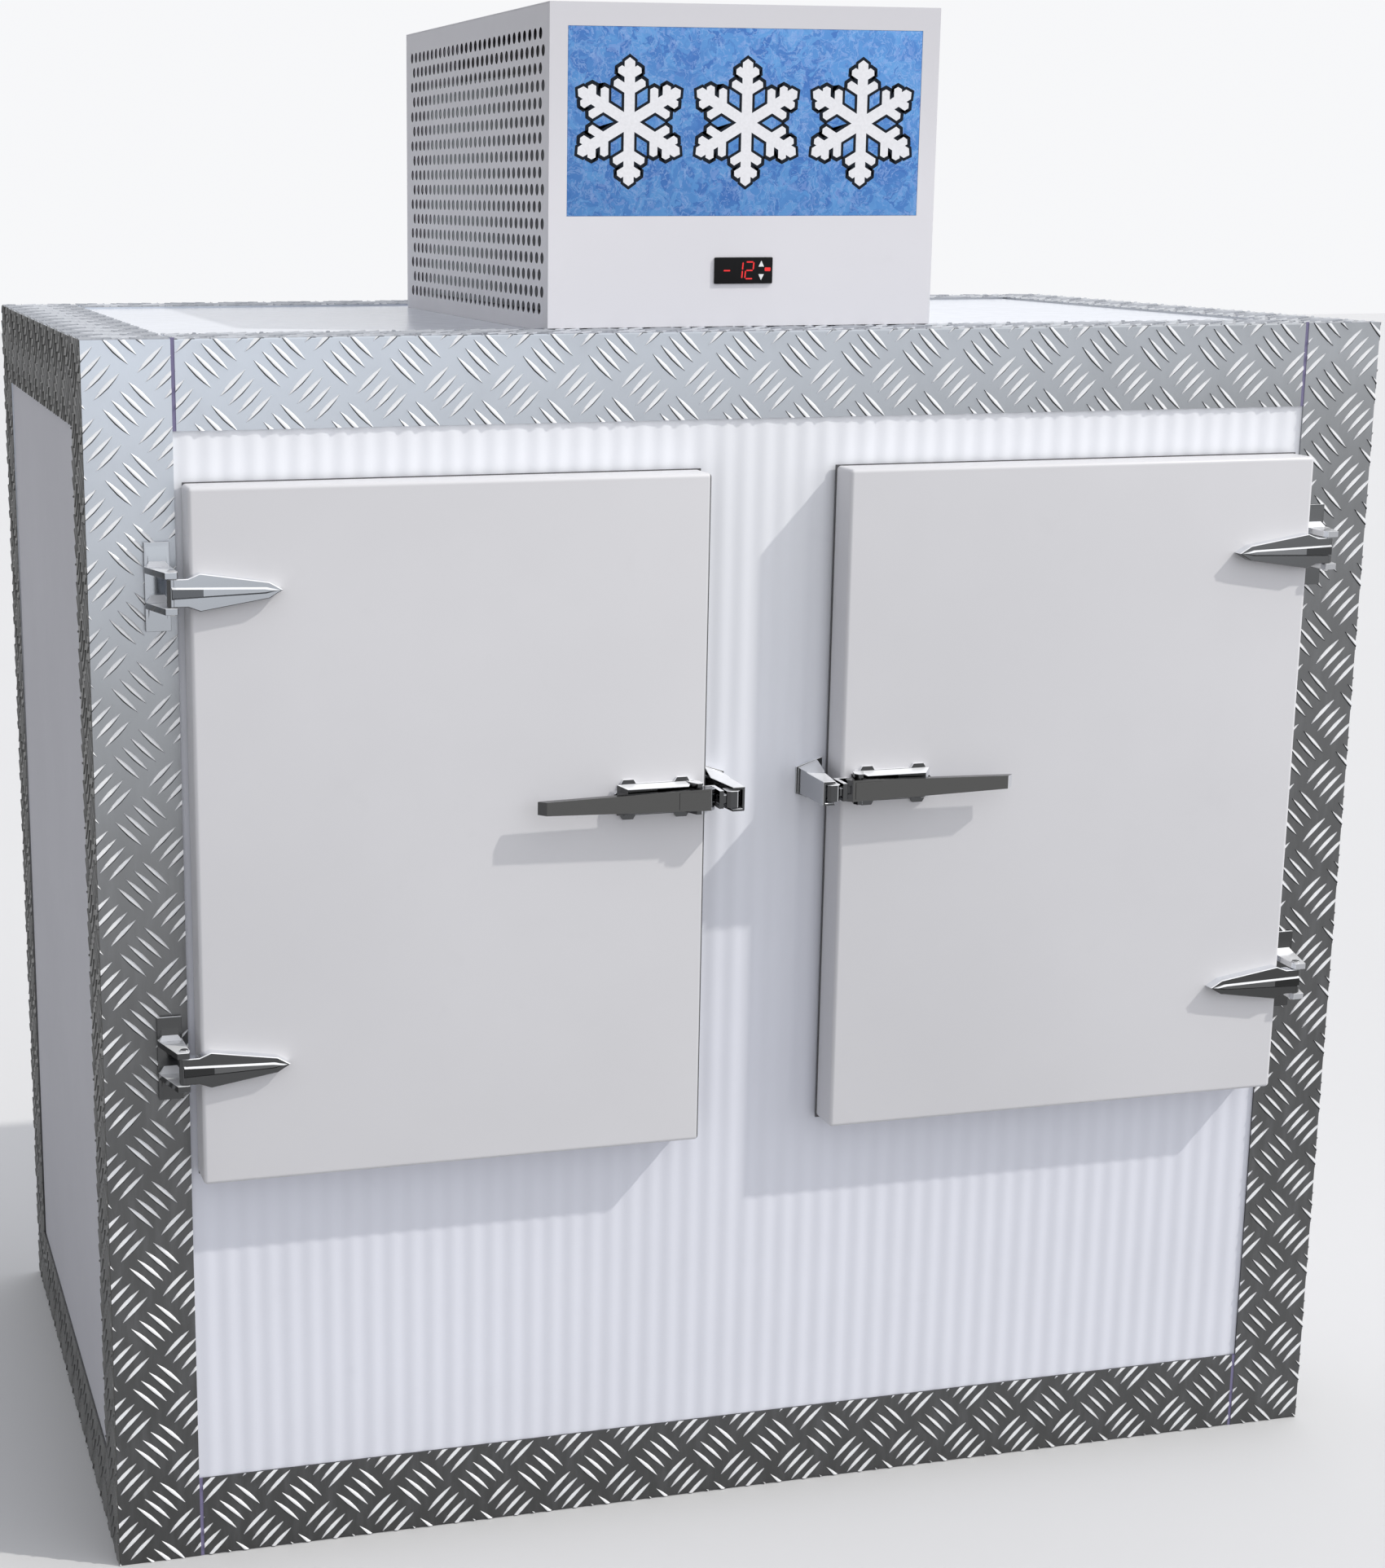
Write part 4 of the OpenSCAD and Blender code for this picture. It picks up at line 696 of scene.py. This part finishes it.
def sideRails():
    bm = bmesh.new()
    for side in (-1, 1):
        for top in (True, False):
            part = bmesh.new()
            out, edge = halfW - relief, halfW - inner
            if top:
                foot, turn, under = tall - legW, tall - relief, tall - inner
            else:
                foot, turn, under = legW, 0, inner
            profile = [(out, foot), (out, turn), (frontEdge, turn), (frontEdge, under), (edge, under), (edge, foot)]
            plateAngle(part, [(x, legW, z) for x, z in profile], (0, deep - 2 * legW, 0), (out, legW, turn))
            for start in (inner, deep - legW):
                end = start + trim["cornerFill"]
                block(part, (frontEdge, start, min(under, turn)), (edge, end, max(under, turn)))
            if top:
                window = (legW, relief + clear, deep - legW, legW)
                addBars(part, (out, 0, tall), (0, 1, 0), (0, 0, -1), (1, 0, 0), window, (20.0, 27.0))
                window = (inner + clear, frontEdge, deep - inner - clear, out - clear)
                addBars(part, (0, 0, turn), (0, 1, 0), (1, 0, 0), (0, 0, 1), window, (20.0, 735.0))
            else:
                window = (legW, 0, deep - legW, trim["frontLeg"])
                addBars(part, (out, 0, legW), (0, 1, 0), (0, 0, -1), (1, 0, 0), window, (20.0, 42.5))
            bmesh.ops.transform(part, matrix=Matrix.Diagonal((side, 1, 1, 1)), verts=part.verts)
            addPart(bm, part)
    makePiece(bm, "treadRailsSide", "cabinet", ["plate", "bars"], ["side_rail_trims"], smooth=12)


sideRails()
refinish("seam_strips", "seam")
print("tread plate trims built")

# insulated panels

ribs = {"pitch": 26.0, "depth": 1.0, "lightBand": -697.9, "columns": 505, "middle": 4.5, "back": 6.0}


def frontSkin():
    bm = bmesh.new()
    wide, low, high = halfW - inner, inner, tall - inner
    place = Matrix.Translation((0, ribs["middle"], (low + high) / 2)) @ Matrix.Rotation(math.pi / 2, 4, "X")
    size = Matrix.Diagonal((wide, (high - low) / 2, 1, 1))
    bmesh.ops.create_grid(bm, x_segments=ribs["columns"], y_segments=1, size=1, matrix=place @ size)
    cuts = [((side * doorway[edge], 0, 0), (1, 0, 0)) for side in (-1, 1) for edge in ("inner", "outer")]
    cuts += [((0, 0, doorway[edge]), (0, 0, 1)) for edge in ("low", "high")]
    for point, normal in cuts:
        bmesh.ops.bisect_plane(bm, geom=wholeOf(bm), dist=1e-4, plane_co=point, plane_no=normal)
    gone = []
    for face in bm.faces:
        middle = face.calc_center_median()
        if doorway["inner"] < abs(middle.x) < doorway["outer"] and doorway["low"] < middle.z < doorway["high"]:
            gone.append(face)
    bmesh.ops.delete(bm, geom=gone, context="FACES")
    grown = bmesh.ops.extrude_face_region(bm, geom=bm.faces[:], use_keep_orig=True)["geom"]
    back = set(ofKind(grown, bmesh.types.BMVert))
    for vert in bm.verts:
        if vert in back:
            vert.co.y = ribs["back"]
        else:
            turn = (vert.co.x - ribs["lightBand"]) * 2 * math.pi / ribs["pitch"]
            vert.co.y = ribs["middle"] + ribs["depth"] / 2 * math.sin(turn)
    makePiece(bm, "ribbedFrontSkin", "cabinet", "skin", ["front_skin"], smooth=40)


frontSkin()
for panel in ("floor_panel", "side_panels", "back_panel"):
    refinish(panel, "side")
refinish("roof_panel", "roof")
refinish("front_panel", "inside")
refinish("floor_deck", "mill")
easedCopy("doorway_linings", "doorwayLinings", "cabinet", "lining", 0.8, 3, 12)
print("panels built")

# doors

doorForm = {"round": 5.0, "flange": 14.0, "hollow": 20.0, "press": 60.0, "pressDepth": 7.0, "lip": 1.2}


def doorPan(side, word):
    bm = bmesh.new()
    corners = [[doorLeaf[key] for key in keys] for keys in (("inner", "front", "low"), ("outer", "back", "high"))]
    block(bm, *corners)
    rounded = [edge for edge in bm.edges if not all(vert.co.y > -3 for vert in edge.verts)]
    soften(bm, rounded, doorForm["round"], 6)
    back = max(bm.faces, key=lambda face: face.calc_center_median().y)
    bmesh.ops.inset_region(bm, faces=[back], thickness=doorForm["flange"], use_even_offset=True)
    grown = bmesh.ops.extrude_face_region(bm, geom=[back] + list(back.edges))["geom"]
    bmesh.ops.translate(bm, vec=(0, -doorForm["hollow"], 0), verts=ofKind(grown, bmesh.types.BMVert))
    makePiece(bm, word + "DoorPan", word + "_door", "door", [word + "_door_pan"], side, 35)


def doorLiner(side, word):
    bm = bmesh.new()
    edge = doorForm["flange"] + 0.4
    low = (doorLeaf["inner"] + edge, -21.0, doorLeaf["low"] + edge)
    high = (doorLeaf["outer"] - edge, doorLeaf["back"] - 0.4, doorLeaf["high"] - edge)
    block(bm, low, high)
    back = max(bm.faces, key=lambda face: face.calc_center_median().y)
    bmesh.ops.inset_region(bm, faces=[back], thickness=doorForm["press"], use_even_offset=True)
    sink = doorForm["pressDepth"]
    bmesh.ops.inset_region(bm, faces=[back], thickness=sink, depth=-sink, use_even_offset=True)
    soften(bm, sharp(bm.edges, 20), 2.0, 3)
    makePiece(bm, word + "DoorLiner", word + "_door", "lining", [word + "_door_core"], side, 12)


# a closed profile of (outwards, y) points swept round a rectangle of (x, z) corners
def squareRing(bm, profile, low, high):
    loops = []
    (x0, z0), (x1, z1) = low, high
    for x, z, wayX, wayZ in ((x0, z0, -1, -1), (x1, z0, 1, -1), (x1, z1, 1, 1), (x0, z1, -1, 1)):
        verts = [bm.verts.new((x + wayX * out, y, z + wayZ * out)) for out, y in profile]
        loops.append([bm.edges.new((verts[count - 1], verts[count])) for count in range(len(verts))])
    for count in range(4):
        bmesh.ops.bridge_loops(bm, edges=loops[count - 1] + loops[count])


def doorGasket(side, word):
    bm = bmesh.new()
    profile = [(0, -2), (1.2, 0.6), (3, 2.7), (5.5, 3.7), (8.5, 3.7), (9.4, 2.6)]
    profile += [(20 - out, y) for out, y in reversed(profile)]
    past = 10.0  # the gasket's inner edge lies this far past the doorway
    low, high = (doorway["inner"] - past, doorway["low"] - past), (doorway["outer"] + past, doorway["high"] + past)
    squareRing(bm, profile, low, high)
    lip = [(-6, -2), (-6, 2.8), (-1, 2.8), (doorForm["lip"], 0.8), (doorForm["lip"], -2)]
    squareRing(bm, lip, (doorLeaf["inner"], doorLeaf["low"]), (doorLeaf["outer"] - 2, doorLeaf["high"]))
    makePiece(bm, word + "DoorGasket", word + "_door", "gasket", [word + "_door_gasket"], side, 50)


for side, word in ((-1, "left"), (1, "right")):
    doorPan(side, word)
    doorLiner(side, word)
    doorGasket(side, word)
print("doors built")

# hinges

gusset = {"feet": (24.2, -16.7), "left": 730.0, "right": 757.0, "cut": 5.5, "reach": 8.0}
strapForm = {
    "neck": 16.7, "shoulder": 30.8, "point": 110.2, "tip": 125.9,
    "neckHalf": 16.1, "shoulderHalf": 21.6, "pointHalf": 9.2,
    "back": -46.7, "front": -61.0, "rib": 2.5,
}


def strapBlank(bm, height):
    form = strapForm
    shape = [(0, form["neckHalf"]), (form["neck"], form["neckHalf"]), (form["shoulder"], form["shoulderHalf"])]
    shape += [(form["point"], form["pointHalf"]), (form["tip"], 0)]
    shape += [(along, -half) for along, half in reversed(shape[:-1])]
    outline = [(hinge["pinX"] - along, form["back"], height + half) for along, half in shape]
    verts = prism(bm, outline, (0, form["front"] - form["back"], 0))
    front = [edge for edge in edgesOf(verts) if all(vert.co.y < form["front"] + 0.1 for vert in edge.verts)]
    soften(bm, front, 0.9, 1)
    rib = []
    point, tip = form["point"], form["tip"]
    for along, half, end in ((-2, 7.2, -1.5), (point - 4, 3.9, point - 6), (tip - 3, 0, tip - 9)):
        for way in (1, -1):
            rib.append((hinge["pinX"] - along, form["front"] + 0.3, height + way * half))
            rib.append((hinge["pinX"] - end, form["front"] - form["rib"], height + way * max(half - 2.2, 0)))
    hull(bm, rib)
    knuckle = rod(bm, 6.5, (hinge["pinX"], hinge["pinY"], height - form["neckHalf"]), (0, 0, 2 * form["neckHalf"]), 40)
    soften(bm, sharp(edgesOf(knuckle), 60), 0.8, 1)


def hinges(side, word):
    bm = bmesh.new()
    for height in hinge["heights"]:
        strapBlank(bm, height)
    makePiece(bm, word + "HingeStraps", word + "_door", "strap", [word + "_hinge_straps"], side, 14)
    easedCopy(word + "_hinge_frames", word + "HingeFrames", "cabinet", "chrome", 1.2)
    # bright fillets at the lugs' feet, painted white as the lug tops' reflection in the plate
    fillets = bmesh.new()
    for height in hinge["heights"]:
        for foot in gusset["feet"]:
            low, back, out = height + foot - 0.3, -3.8, gusset["reach"]
            left, right, cut = gusset["left"], gusset["right"], gusset["cut"]
            corners = [(left, back, low), (right, back, low), (right, back - out, low), (left, back - out, low)]
            corners += [(x, y, low + out) for y in (back, back - 0.5) for x in (left + cut, right - cut)]
            hull(fillets, corners)
    makePiece(fillets, word + "HingeGussets", "cabinet", "weld", (), side, 14)


for side, word in ((-1, "left"), (1, "right")):
    hinges(side, word)
easedCopy("hinge_pins", "hingePins", "cabinet", "pin", 0.4)
print("hinges built")

# latches

for side, word in ((-1, "left"), (1, "right")):
    easedCopy(word + "_latch_base", word + "LatchBody", word + "_door", "latch", 0.5)
    easedCopy(word + "_latch_lever", word + "LatchLever", word + "_lever", "lever", 0.7)
    easedCopy(word + "_latch_bolt", word + "LatchBolt", word + "_bolt", "latch", 0.5)
    easedCopy(word + "_strike", word + "Strike", "cabinet", "latch" if side < 0 else "strike", 0.4)
print("latches built")

# roof unit

for sheet in ("unit_base", "casing_front", "casing_back", "casing_top"):
    refinish(sheet, "casing")
for housing in ("electrical_box", "condenser_shroud", "evaporator_housing"):
    refinish(housing, "casing")
for part in ("condenser_motor", "evaporator_motor", "compressor"):
    refinish(part, "motor")
for part in ("condenser_fan", "evaporator_fan", "power_gland"):
    refinish(part, "black")
refinish("refrigerant_pipes", "copper")
refinish("drip_tray", "lining")
refinish("sign_lamp", "lamp")
refinish("evaporator_coil", "mill")


grille = {"rim": 0.004, "drop": 0.0038, "coilBack": 0.205, "coilTop": 1.818}


def grilleSheet(node, name):  # a casing side, with the walls of its holes given painted shade
    bm = bmesh.new()
    bm.from_mesh(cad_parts[node].data)
    bmesh.ops.remove_doubles(bm, verts=bm.verts, dist=2e-6)
    low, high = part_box(node)
    for face in bm.faces:
        middle, rim = face.calc_center_median(), grille["rim"]
        inside = low.y + rim < middle.y < high.y - rim and low.z + rim < middle.z < high.z - rim
        if inside and abs(face.normal.x) < 0.5:
            face.material_index = 1
    for vert in bm.verts:
        if vert.co.z < low.z + 0.0005:  # down to the roof, over the base's edge
            vert.co.z -= grille["drop"]
    makePiece(bm, name, "cabinet", ["casing", "holeEdge"], [node], smooth=1, place=Matrix.Identity(4))


def onCoil(made):  # 1 in front of the coil
    return (made.axis("Y") < grille["coilBack"]) * (made.axis("Z") < grille["coilTop"])


def holeSurface():  # the holes' cut walls, painted in shade: grey in front of the coil and darker towards the front, near black elsewhere
    made = Finish("holeEdge", specular=0.1)
    worn = made.noise(60.0, 4.0, 0.6)
    darkerToFront = made.mix(made.axis("Y").ease(-0.36, -0.02), (0.17, 0.17, 0.178), (0.36, 0.37, 0.38))
    made.put("color", made.mix(onCoil(made), (0.016, 0.016, 0.017), made.mix(worn * 0.3, darkerToFront, (0.1, 0.1, 0.1))))
    made.put("rough", worn * 0.2 + 0.5)
    made.bump(made.noise(260.0, 3.0), 0.2, 0.0005)
    return made.material


finishes["holeEdge"] = holeSurface()
grilleSheet("casing_left", "casingLeft")
grilleSheet("casing_right", "casingRight")

coil = {
    "fin": 0.6, "pitch": 2.0, "tube": 9.0, "groove": 1.0, "proud": 6.0, "depth": 36.0,
    "ends": (2.0, 562.0),
    "heights": (4.0, 284.0),
    "rows": 6,
    "rowHalf": 9.0,
}


def finnedCoil():
    low, high = boxOf("condenser_coil")
    x0, x1 = low.x - coil["proud"], low.x + coil["depth"]
    y0, y1 = [low.y + end for end in coil["ends"]]
    z0, z1 = [low.z + height for height in coil["heights"]]
    bm = bmesh.new()
    for start in (y0 - 2, y1):
        block(bm, (x0, start, low.z), (x1 + 6, start + 2, high.z))
    for count in range(int((y1 - y0) / coil["pitch"])):
        place = y0 + 1 + count * coil["pitch"]
        block(bm, (x0, place, z0), (x1, place + coil["fin"], z1))
    block(bm, (x0 + coil["groove"], y0, z0), (x1 - coil["groove"], y1, z1))
    middle, rows, half = (x0 + x1) / 2, coil["rows"], coil["rowHalf"]
    for row in range(rows):
        height = z0 + (z1 - z0) * (row + 0.5) / rows
        for way in (-1, 1):
            rod(bm, coil["tube"] / 2, (middle + way * half, y0 - 1, height), (0, y1 - y0 + 2, 0), 12)
        place = Matrix.Translation((middle + half, y1 + 2, height)) @ Matrix.Rotation(math.pi / 2, 4, "X")
        ring = bmesh.ops.create_circle(bm, cap_ends=False, segments=12, radius=coil["tube"] / 2, matrix=place)["verts"]
        bend = {"cent": (middle, y1 + 2, height), "axis": (0, 0, 1), "angle": math.pi, "steps": 12}
        last = bmesh.ops.spin(bm, geom=edgesOf(ring), use_merge=False, **bend)["geom_last"]
        bmesh.ops.holes_fill(bm, edges=edgesOf(ring) + ofKind(last, bmesh.types.BMEdge), sides=0)
    makePiece(bm, "condenserCoil", "cabinet", "fins", ["condenser_coil"], smooth=35)


def coilShadeSheet():  # a black sheet above the coil, put in as painted shade behind the top rows of holes
    low, high = boxOf("condenser_coil")
    bm = bmesh.new()
    block(bm, (high.x - 4, low.y, high.z + 0.2), (high.x - 2.8, high.y, unitTop - 4))
    block(bm, (high.x - 10, low.y, high.z + 0.2), (high.x - 3.4, high.y, high.z + 1.4))
    makePiece(bm, "coilShadeSheet", "cabinet", "black", ())


def finSurface():  # aluminium fins, darker towards the front
    made = Finish("finAluminium", specular=0.3, metal=0.0)
    darkerToFront = 1 - made.axis("Y").ease(-0.34, 0.0)
    tone = made.mix(made.noise(30.0, 3.0).ease(0.3, 0.8), (0.80, 0.84, 0.84), (0.90, 0.93, 0.93))
    made.put("color", made.mix(darkerToFront * 0.7, tone, (0.26, 0.26, 0.28)))
    made.put("rough", made.noise(60.0, 3.0) * 0.16 + 0.45)
    made.bump(made.noise(900.0, 2.0), 0.1, 0.0006)
    return made.material


finishes["fins"] = finSurface()
finnedCoil()
coilShadeSheet()
print("roof unit built")

# sign

signForm = {
    "crystals": (-155.0, -7.0, 141.0),
    "arm": 72.0,
    "half": 6.5,
    "branches": ((35.5, 20.0), (53.5, 14.0)),  # where each leaves the arm, and its length
    "branchHalf": 5.0,
    "outline": 3.2,
    "rim": 6.3,
}


def shardLayer(made, flat, turn, scale, stretch):  # long splinters of one direction
    turned = made.node("ShaderNodeVectorRotate", {"rotation_type": "Y_AXIS"}, {"Vector": flat, "Angle": turn})
    longer = made.node("ShaderNodeVectorMath", {"operation": "MULTIPLY"}, [turned, (1.0, 1.0, stretch)])
    kind = {"feature": "F1", "distance": "MANHATTAN"}
    cells = made.node("ShaderNodeTexVoronoi", kind, {"Vector": longer, "Scale": scale}, "Color")
    return made.node("ShaderNodeSeparateColor", None, [cells], 0)


def signFinish():
    made = Finish("signPrint", specular=0.5, coat=0.4, coatRough=0.12)
    flat = made.stretched(1.0, 0.0, 1.0)
    warp = made.node("ShaderNodeTexNoise", None, {"Vector": flat, "Scale": 34.0, "Detail": 4.0}, "Color")
    bent = made.node("ShaderNodeMix", {"data_type": "VECTOR"}, {0: 0.05, 4: flat, 5: warp}, 1)
    first = shardLayer(made, bent, 0.7, 80.0, 0.45)
    second = shardLayer(made, bent, -0.9, 130.0, 0.4)
    fine = shardLayer(made, bent, 0.2, 240.0, 0.6)
    cloud = made.noise(14.0, 5.0, 0.6, flat)
    tone = made.mix(first, (0.026, 0.165, 0.54), (0.085, 0.31, 0.72))
    tone = made.mix(second.ease(0.55, 0.8) * 0.7, tone, (0.12, 0.37, 0.77))
    tone = made.mix(fine.ease(0.75, 0.95) * 0.5, tone, (0.25, 0.40, 0.80))
    tone = made.mix(cloud.ease(0.45, 0.75) * 0.35, tone, (0.03, 0.17, 0.56))
    for scale, place in ((46.0, (0.0, 0.0, 0.0)), (58.0, (3.1, 0.0, 1.7))):  # thin bright strands
        moved = made.node("ShaderNodeVectorMath", {"operation": "ADD"}, [bent, place])
        line = made.noise(scale, 2.0, 0.5, moved) - 0.5
        tone = made.mix((line * line < 0.00012) * 0.45, tone, (0.30, 0.48, 0.84))
    made.put("color", tone)
    made.put("rough", made.noise(40.0) * 0.1 + 0.24)
    return made.material


finishes["sign"] = signFinish()
# painted light: the white crystals are given a faint glow of their own
finishes["crystal"] = litFinish("crystalWhite", (0.90, 0.90, 0.93), 0.12)
finishes["outline"] = mouldedPlastic("outlineDark", (0.008, 0.012, 0.02), 0.4, 0.05, 0.15)
signLow, signHigh = boxOf("sign_panel")


def signFace():
    bm = bmesh.new()
    x0, x1 = signLow.x + signForm["rim"], signHigh.x - signForm["rim"]
    z0, z1 = signLow.z + signForm["rim"], signHigh.z - signForm["rim"]
    verts = block(bm, (x0, signLow.y, z0), (x1, signLow.y + 1.2, z1))
    soften(bm, [edge for edge in edgesOf(verts) if all(vert.co.y < signLow.y + 0.1 for vert in edge.verts)], 0.4, 2)
    block(bm, (signLow.x, signLow.y + 1.2, signLow.z), (signHigh.x, signHigh.y, signHigh.z))
    makePiece(bm, "signFace", "cabinet", "sign", ["sign_panel"])


def crystalOutline(grow):  # one closed outline of a six-armed ice crystal, as (x, z) points
    half, twig = signForm["half"] + grow, signForm["branchHalf"] + grow
    arm, way = signForm["arm"] + grow, Vector((math.sin(math.pi / 3), 0.5))
    out = Vector((way.y, -way.x)) * twig
    side = [Vector((half, half * math.sqrt(3)))]
    for start, length in signForm["branches"]:
        root, reach = Vector((0, start)), length + grow
        for edge in (1, -1):
            foot = root + out * edge
            corners = [foot + way * ((half - foot.x) / way.x), foot + way * reach]
            side += corners if edge == 1 else [root + way * (reach + twig * 0.5)] + corners[::-1]
    side += [Vector((half, arm - half * 0.4))]
    points = []
    for turn in range(6):
        spin = Matrix.Rotation(-turn * math.pi / 3, 2)
        points += [spin @ Vector((-point.x, point.y)) for point in side[1:]]
        points += [spin @ Vector((0, arm + half * 0.3))]
        points += [spin @ point for point in side[:0:-1]] + [spin @ side[0]]
    return points


def signCrystals():
    middle = (signLow.z + signHigh.z) / 2
    layers = (("crystalOutlines", "outline", signForm["outline"], 0.15), ("crystals", "crystal", 0.0, 0.3))
    for name, finish, grow, proud in layers:
        bm = bmesh.new()
        for centre in signForm["crystals"]:
            shape = [(centre + point.x, signLow.y - proud, middle + point.y) for point in crystalOutline(grow)]
            prism(bm, shape, (0, proud + 0.5, 0))
        makePiece(bm, name, "cabinet", finish, ())


signFace()
signCrystals()
print("sign built")

# controller

display = {"segment": 1.6, "long": 8.8, "proud": 0.12, "glowPower": 0.5}
finishes["red"] = litFinish("redSegments", (0.80, 0.02, 0.02), display["glowPower"])
controlLow, controlHigh = boxOf("controller")


def controllerBody():
    bm = bmesh.new()
    face = controlLow.y
    x0, x1, z0, z1 = controlLow.x, controlHigh.x, controlLow.z, controlHigh.z
    bezel = block(bm, (x0, face, z0), (x1, face + 3, z1))
    soften(bm, [edge for edge in edgesOf(bezel) if not all(vert.co.y > face + 1 for vert in edge.verts)], 1.2, 3)
    block(bm, (x0 + 2.3, face + 3, z0 + 1.8), (x1 - 2.3, controlHigh.y, z1 - 1.8))
    makePiece(bm, "controllerBody", "cabinet", "display", ["controller"])


def segment(bm, x, z, length, upright, lean=0.08):
    half, face = display["segment"] / 2, controlLow.y
    cut = half * 0.8
    end = length / 2
    shape = [(-end, 0), (-end + cut, half), (end - cut, half), (end, 0), (end - cut, -half), (-end + cut, -half)]
    if upright:
        shape = [(across, along) for along, across in shape]
    outline = [(x + along + across * lean, face - display["proud"], z + across) for along, across in shape]
    prism(bm, outline, (0, 0.3, 0))


def readout():
    bm = bmesh.new()
    x0, top, length = controlLow.x, controlHigh.z, display["long"]
    segment(bm, x0 + 15.4, top - 15.7, length, False)  # the minus sign
    for z in (10.4, 20.4):
        segment(bm, x0 + 35.4 - (z - 15.4) * 0.08, top - z, length, True)
    numeral = ((44.8, 5.6, False), (49.6, 10.3, True), (44.4, 15.6, False), (39.0, 20.4, True), (43.9, 25.4, False))
    for x, z, upright in numeral:
        segment(bm, x0 + x, top - z, length, upright)
    lamp = [(0, -1.6), (0.8, -2.2), (6.8, -2.2), (7.6, -1.6), (7.6, 1.6), (6.8, 2.2), (0.8, 2.2), (0, 1.6)]
    prism(bm, [(x0 + 64 + x, controlLow.y - display["proud"], top - 14.4 + z) for x, z in lamp], (0, 0.3, 0))
    makePiece(bm, "redReadout", "cabinet", "red", ())


controllerBody()
readout()
for key in ("controller_up_key", "controller_down_key"):
    refinish(key, "key")
print("controller built")

# floor and light

stage = {
    "floor": (0.63, 0.63, 0.635),  # where it is seen or mirrored
    "bounce": (0.32, 0.32, 0.325),  # for the light it throws back
    "pale": (0.93, 0.935, 0.95),
    "sky": 1.7,
    "skyTone": (0.94, 0.955, 1.0, 1),
    "even": 0.90,
    "fromAbove": 0.08,
    "fromRight": 0.60,
    "sun": 1.80,
    "sunAngle": 1.2,  # degrees across
    "sunTone": (1.0, 0.975, 0.92),
    "sunFrom": (0.91, -0.467, 1.0),
    "floorHalf": 30,
}


def seenOrMirrored(web):
    seen = web.node("ShaderNodeLightPath", out="Is Camera Ray")
    for ray in ("Is Glossy Ray", "Is Transmission Ray"):
        seen = seen.work("MAXIMUM", seen, web.node("ShaderNodeLightPath", out=ray))
    return seen


def makeWorld():  # pale where it is seen or mirrored, and a softer grey sky as light
    world = bpy.data.worlds.new("studio")
    world.use_nodes = True
    web = Web(world.node_tree)
    web.tree.nodes.clear()
    way = web.node("ShaderNodeTexCoord", out="Generated")
    slope = web.part(way, "Z") * stage["fromAbove"] + web.part(way, "X") * stage["fromRight"]
    share = (slope + stage["even"]) / stage["sky"]
    dark = web.node("ShaderNodeBackground", None, {"Color": (0, 0, 0, 1), "Strength": 0.0})
    sky = web.node("ShaderNodeBackground", None, {"Color": stage["skyTone"], "Strength": stage["sky"]})
    pale = web.node("ShaderNodeBackground", None, {"Color": (*stage["pale"], 1), "Strength": 1.0})
    soft = web.node("ShaderNodeMixShader", None, [share, dark, sky])
    shown = web.node("ShaderNodeMixShader", None, [seenOrMirrored(web), soft, pale])
    web.node("ShaderNodeOutputWorld", None, {"Surface": shown}, None)
    bpy.context.scene.world = world


def makeStage():
    bm = bmesh.new()
    bmesh.ops.create_grid(bm, x_segments=1, y_segments=1, size=stage["floorHalf"])
    bmesh.ops.translate(bm, vec=(0, 0, -0.0006), verts=bm.verts)
    mesh = bpy.data.meshes.new("floor")
    bm.to_mesh(mesh)
    bm.free()
    made = Finish("floorPale")
    pale = made.mix(made.noise(1.5), stage["floor"], shade(stage["floor"], 0.985))
    made.put("color", made.mix(seenOrMirrored(made), stage["bounce"], pale))
    made.put("rough", made.noise(5.0) * 0.1 + 0.8)
    mesh.materials.append(made.material)
    floor = bpy.data.objects.new("floor", mesh)
    bpy.context.scene.collection.objects.link(floor)
    sun = bpy.data.objects.new("sun", bpy.data.lights.new("sun", "SUN"))
    sun.data.energy, sun.data.angle = stage["sun"], math.radians(stage["sunAngle"])
    sun.data.color = stage["sunTone"]
    sun.rotation_euler = Vector(stage["sunFrom"]).to_track_quat("Z", "Y").to_euler()
    bpy.context.scene.collection.objects.link(sun)


makeWorld()
makeStage()
bpy.context.scene.view_settings.view_transform = "Standard"
print("stage and light set")
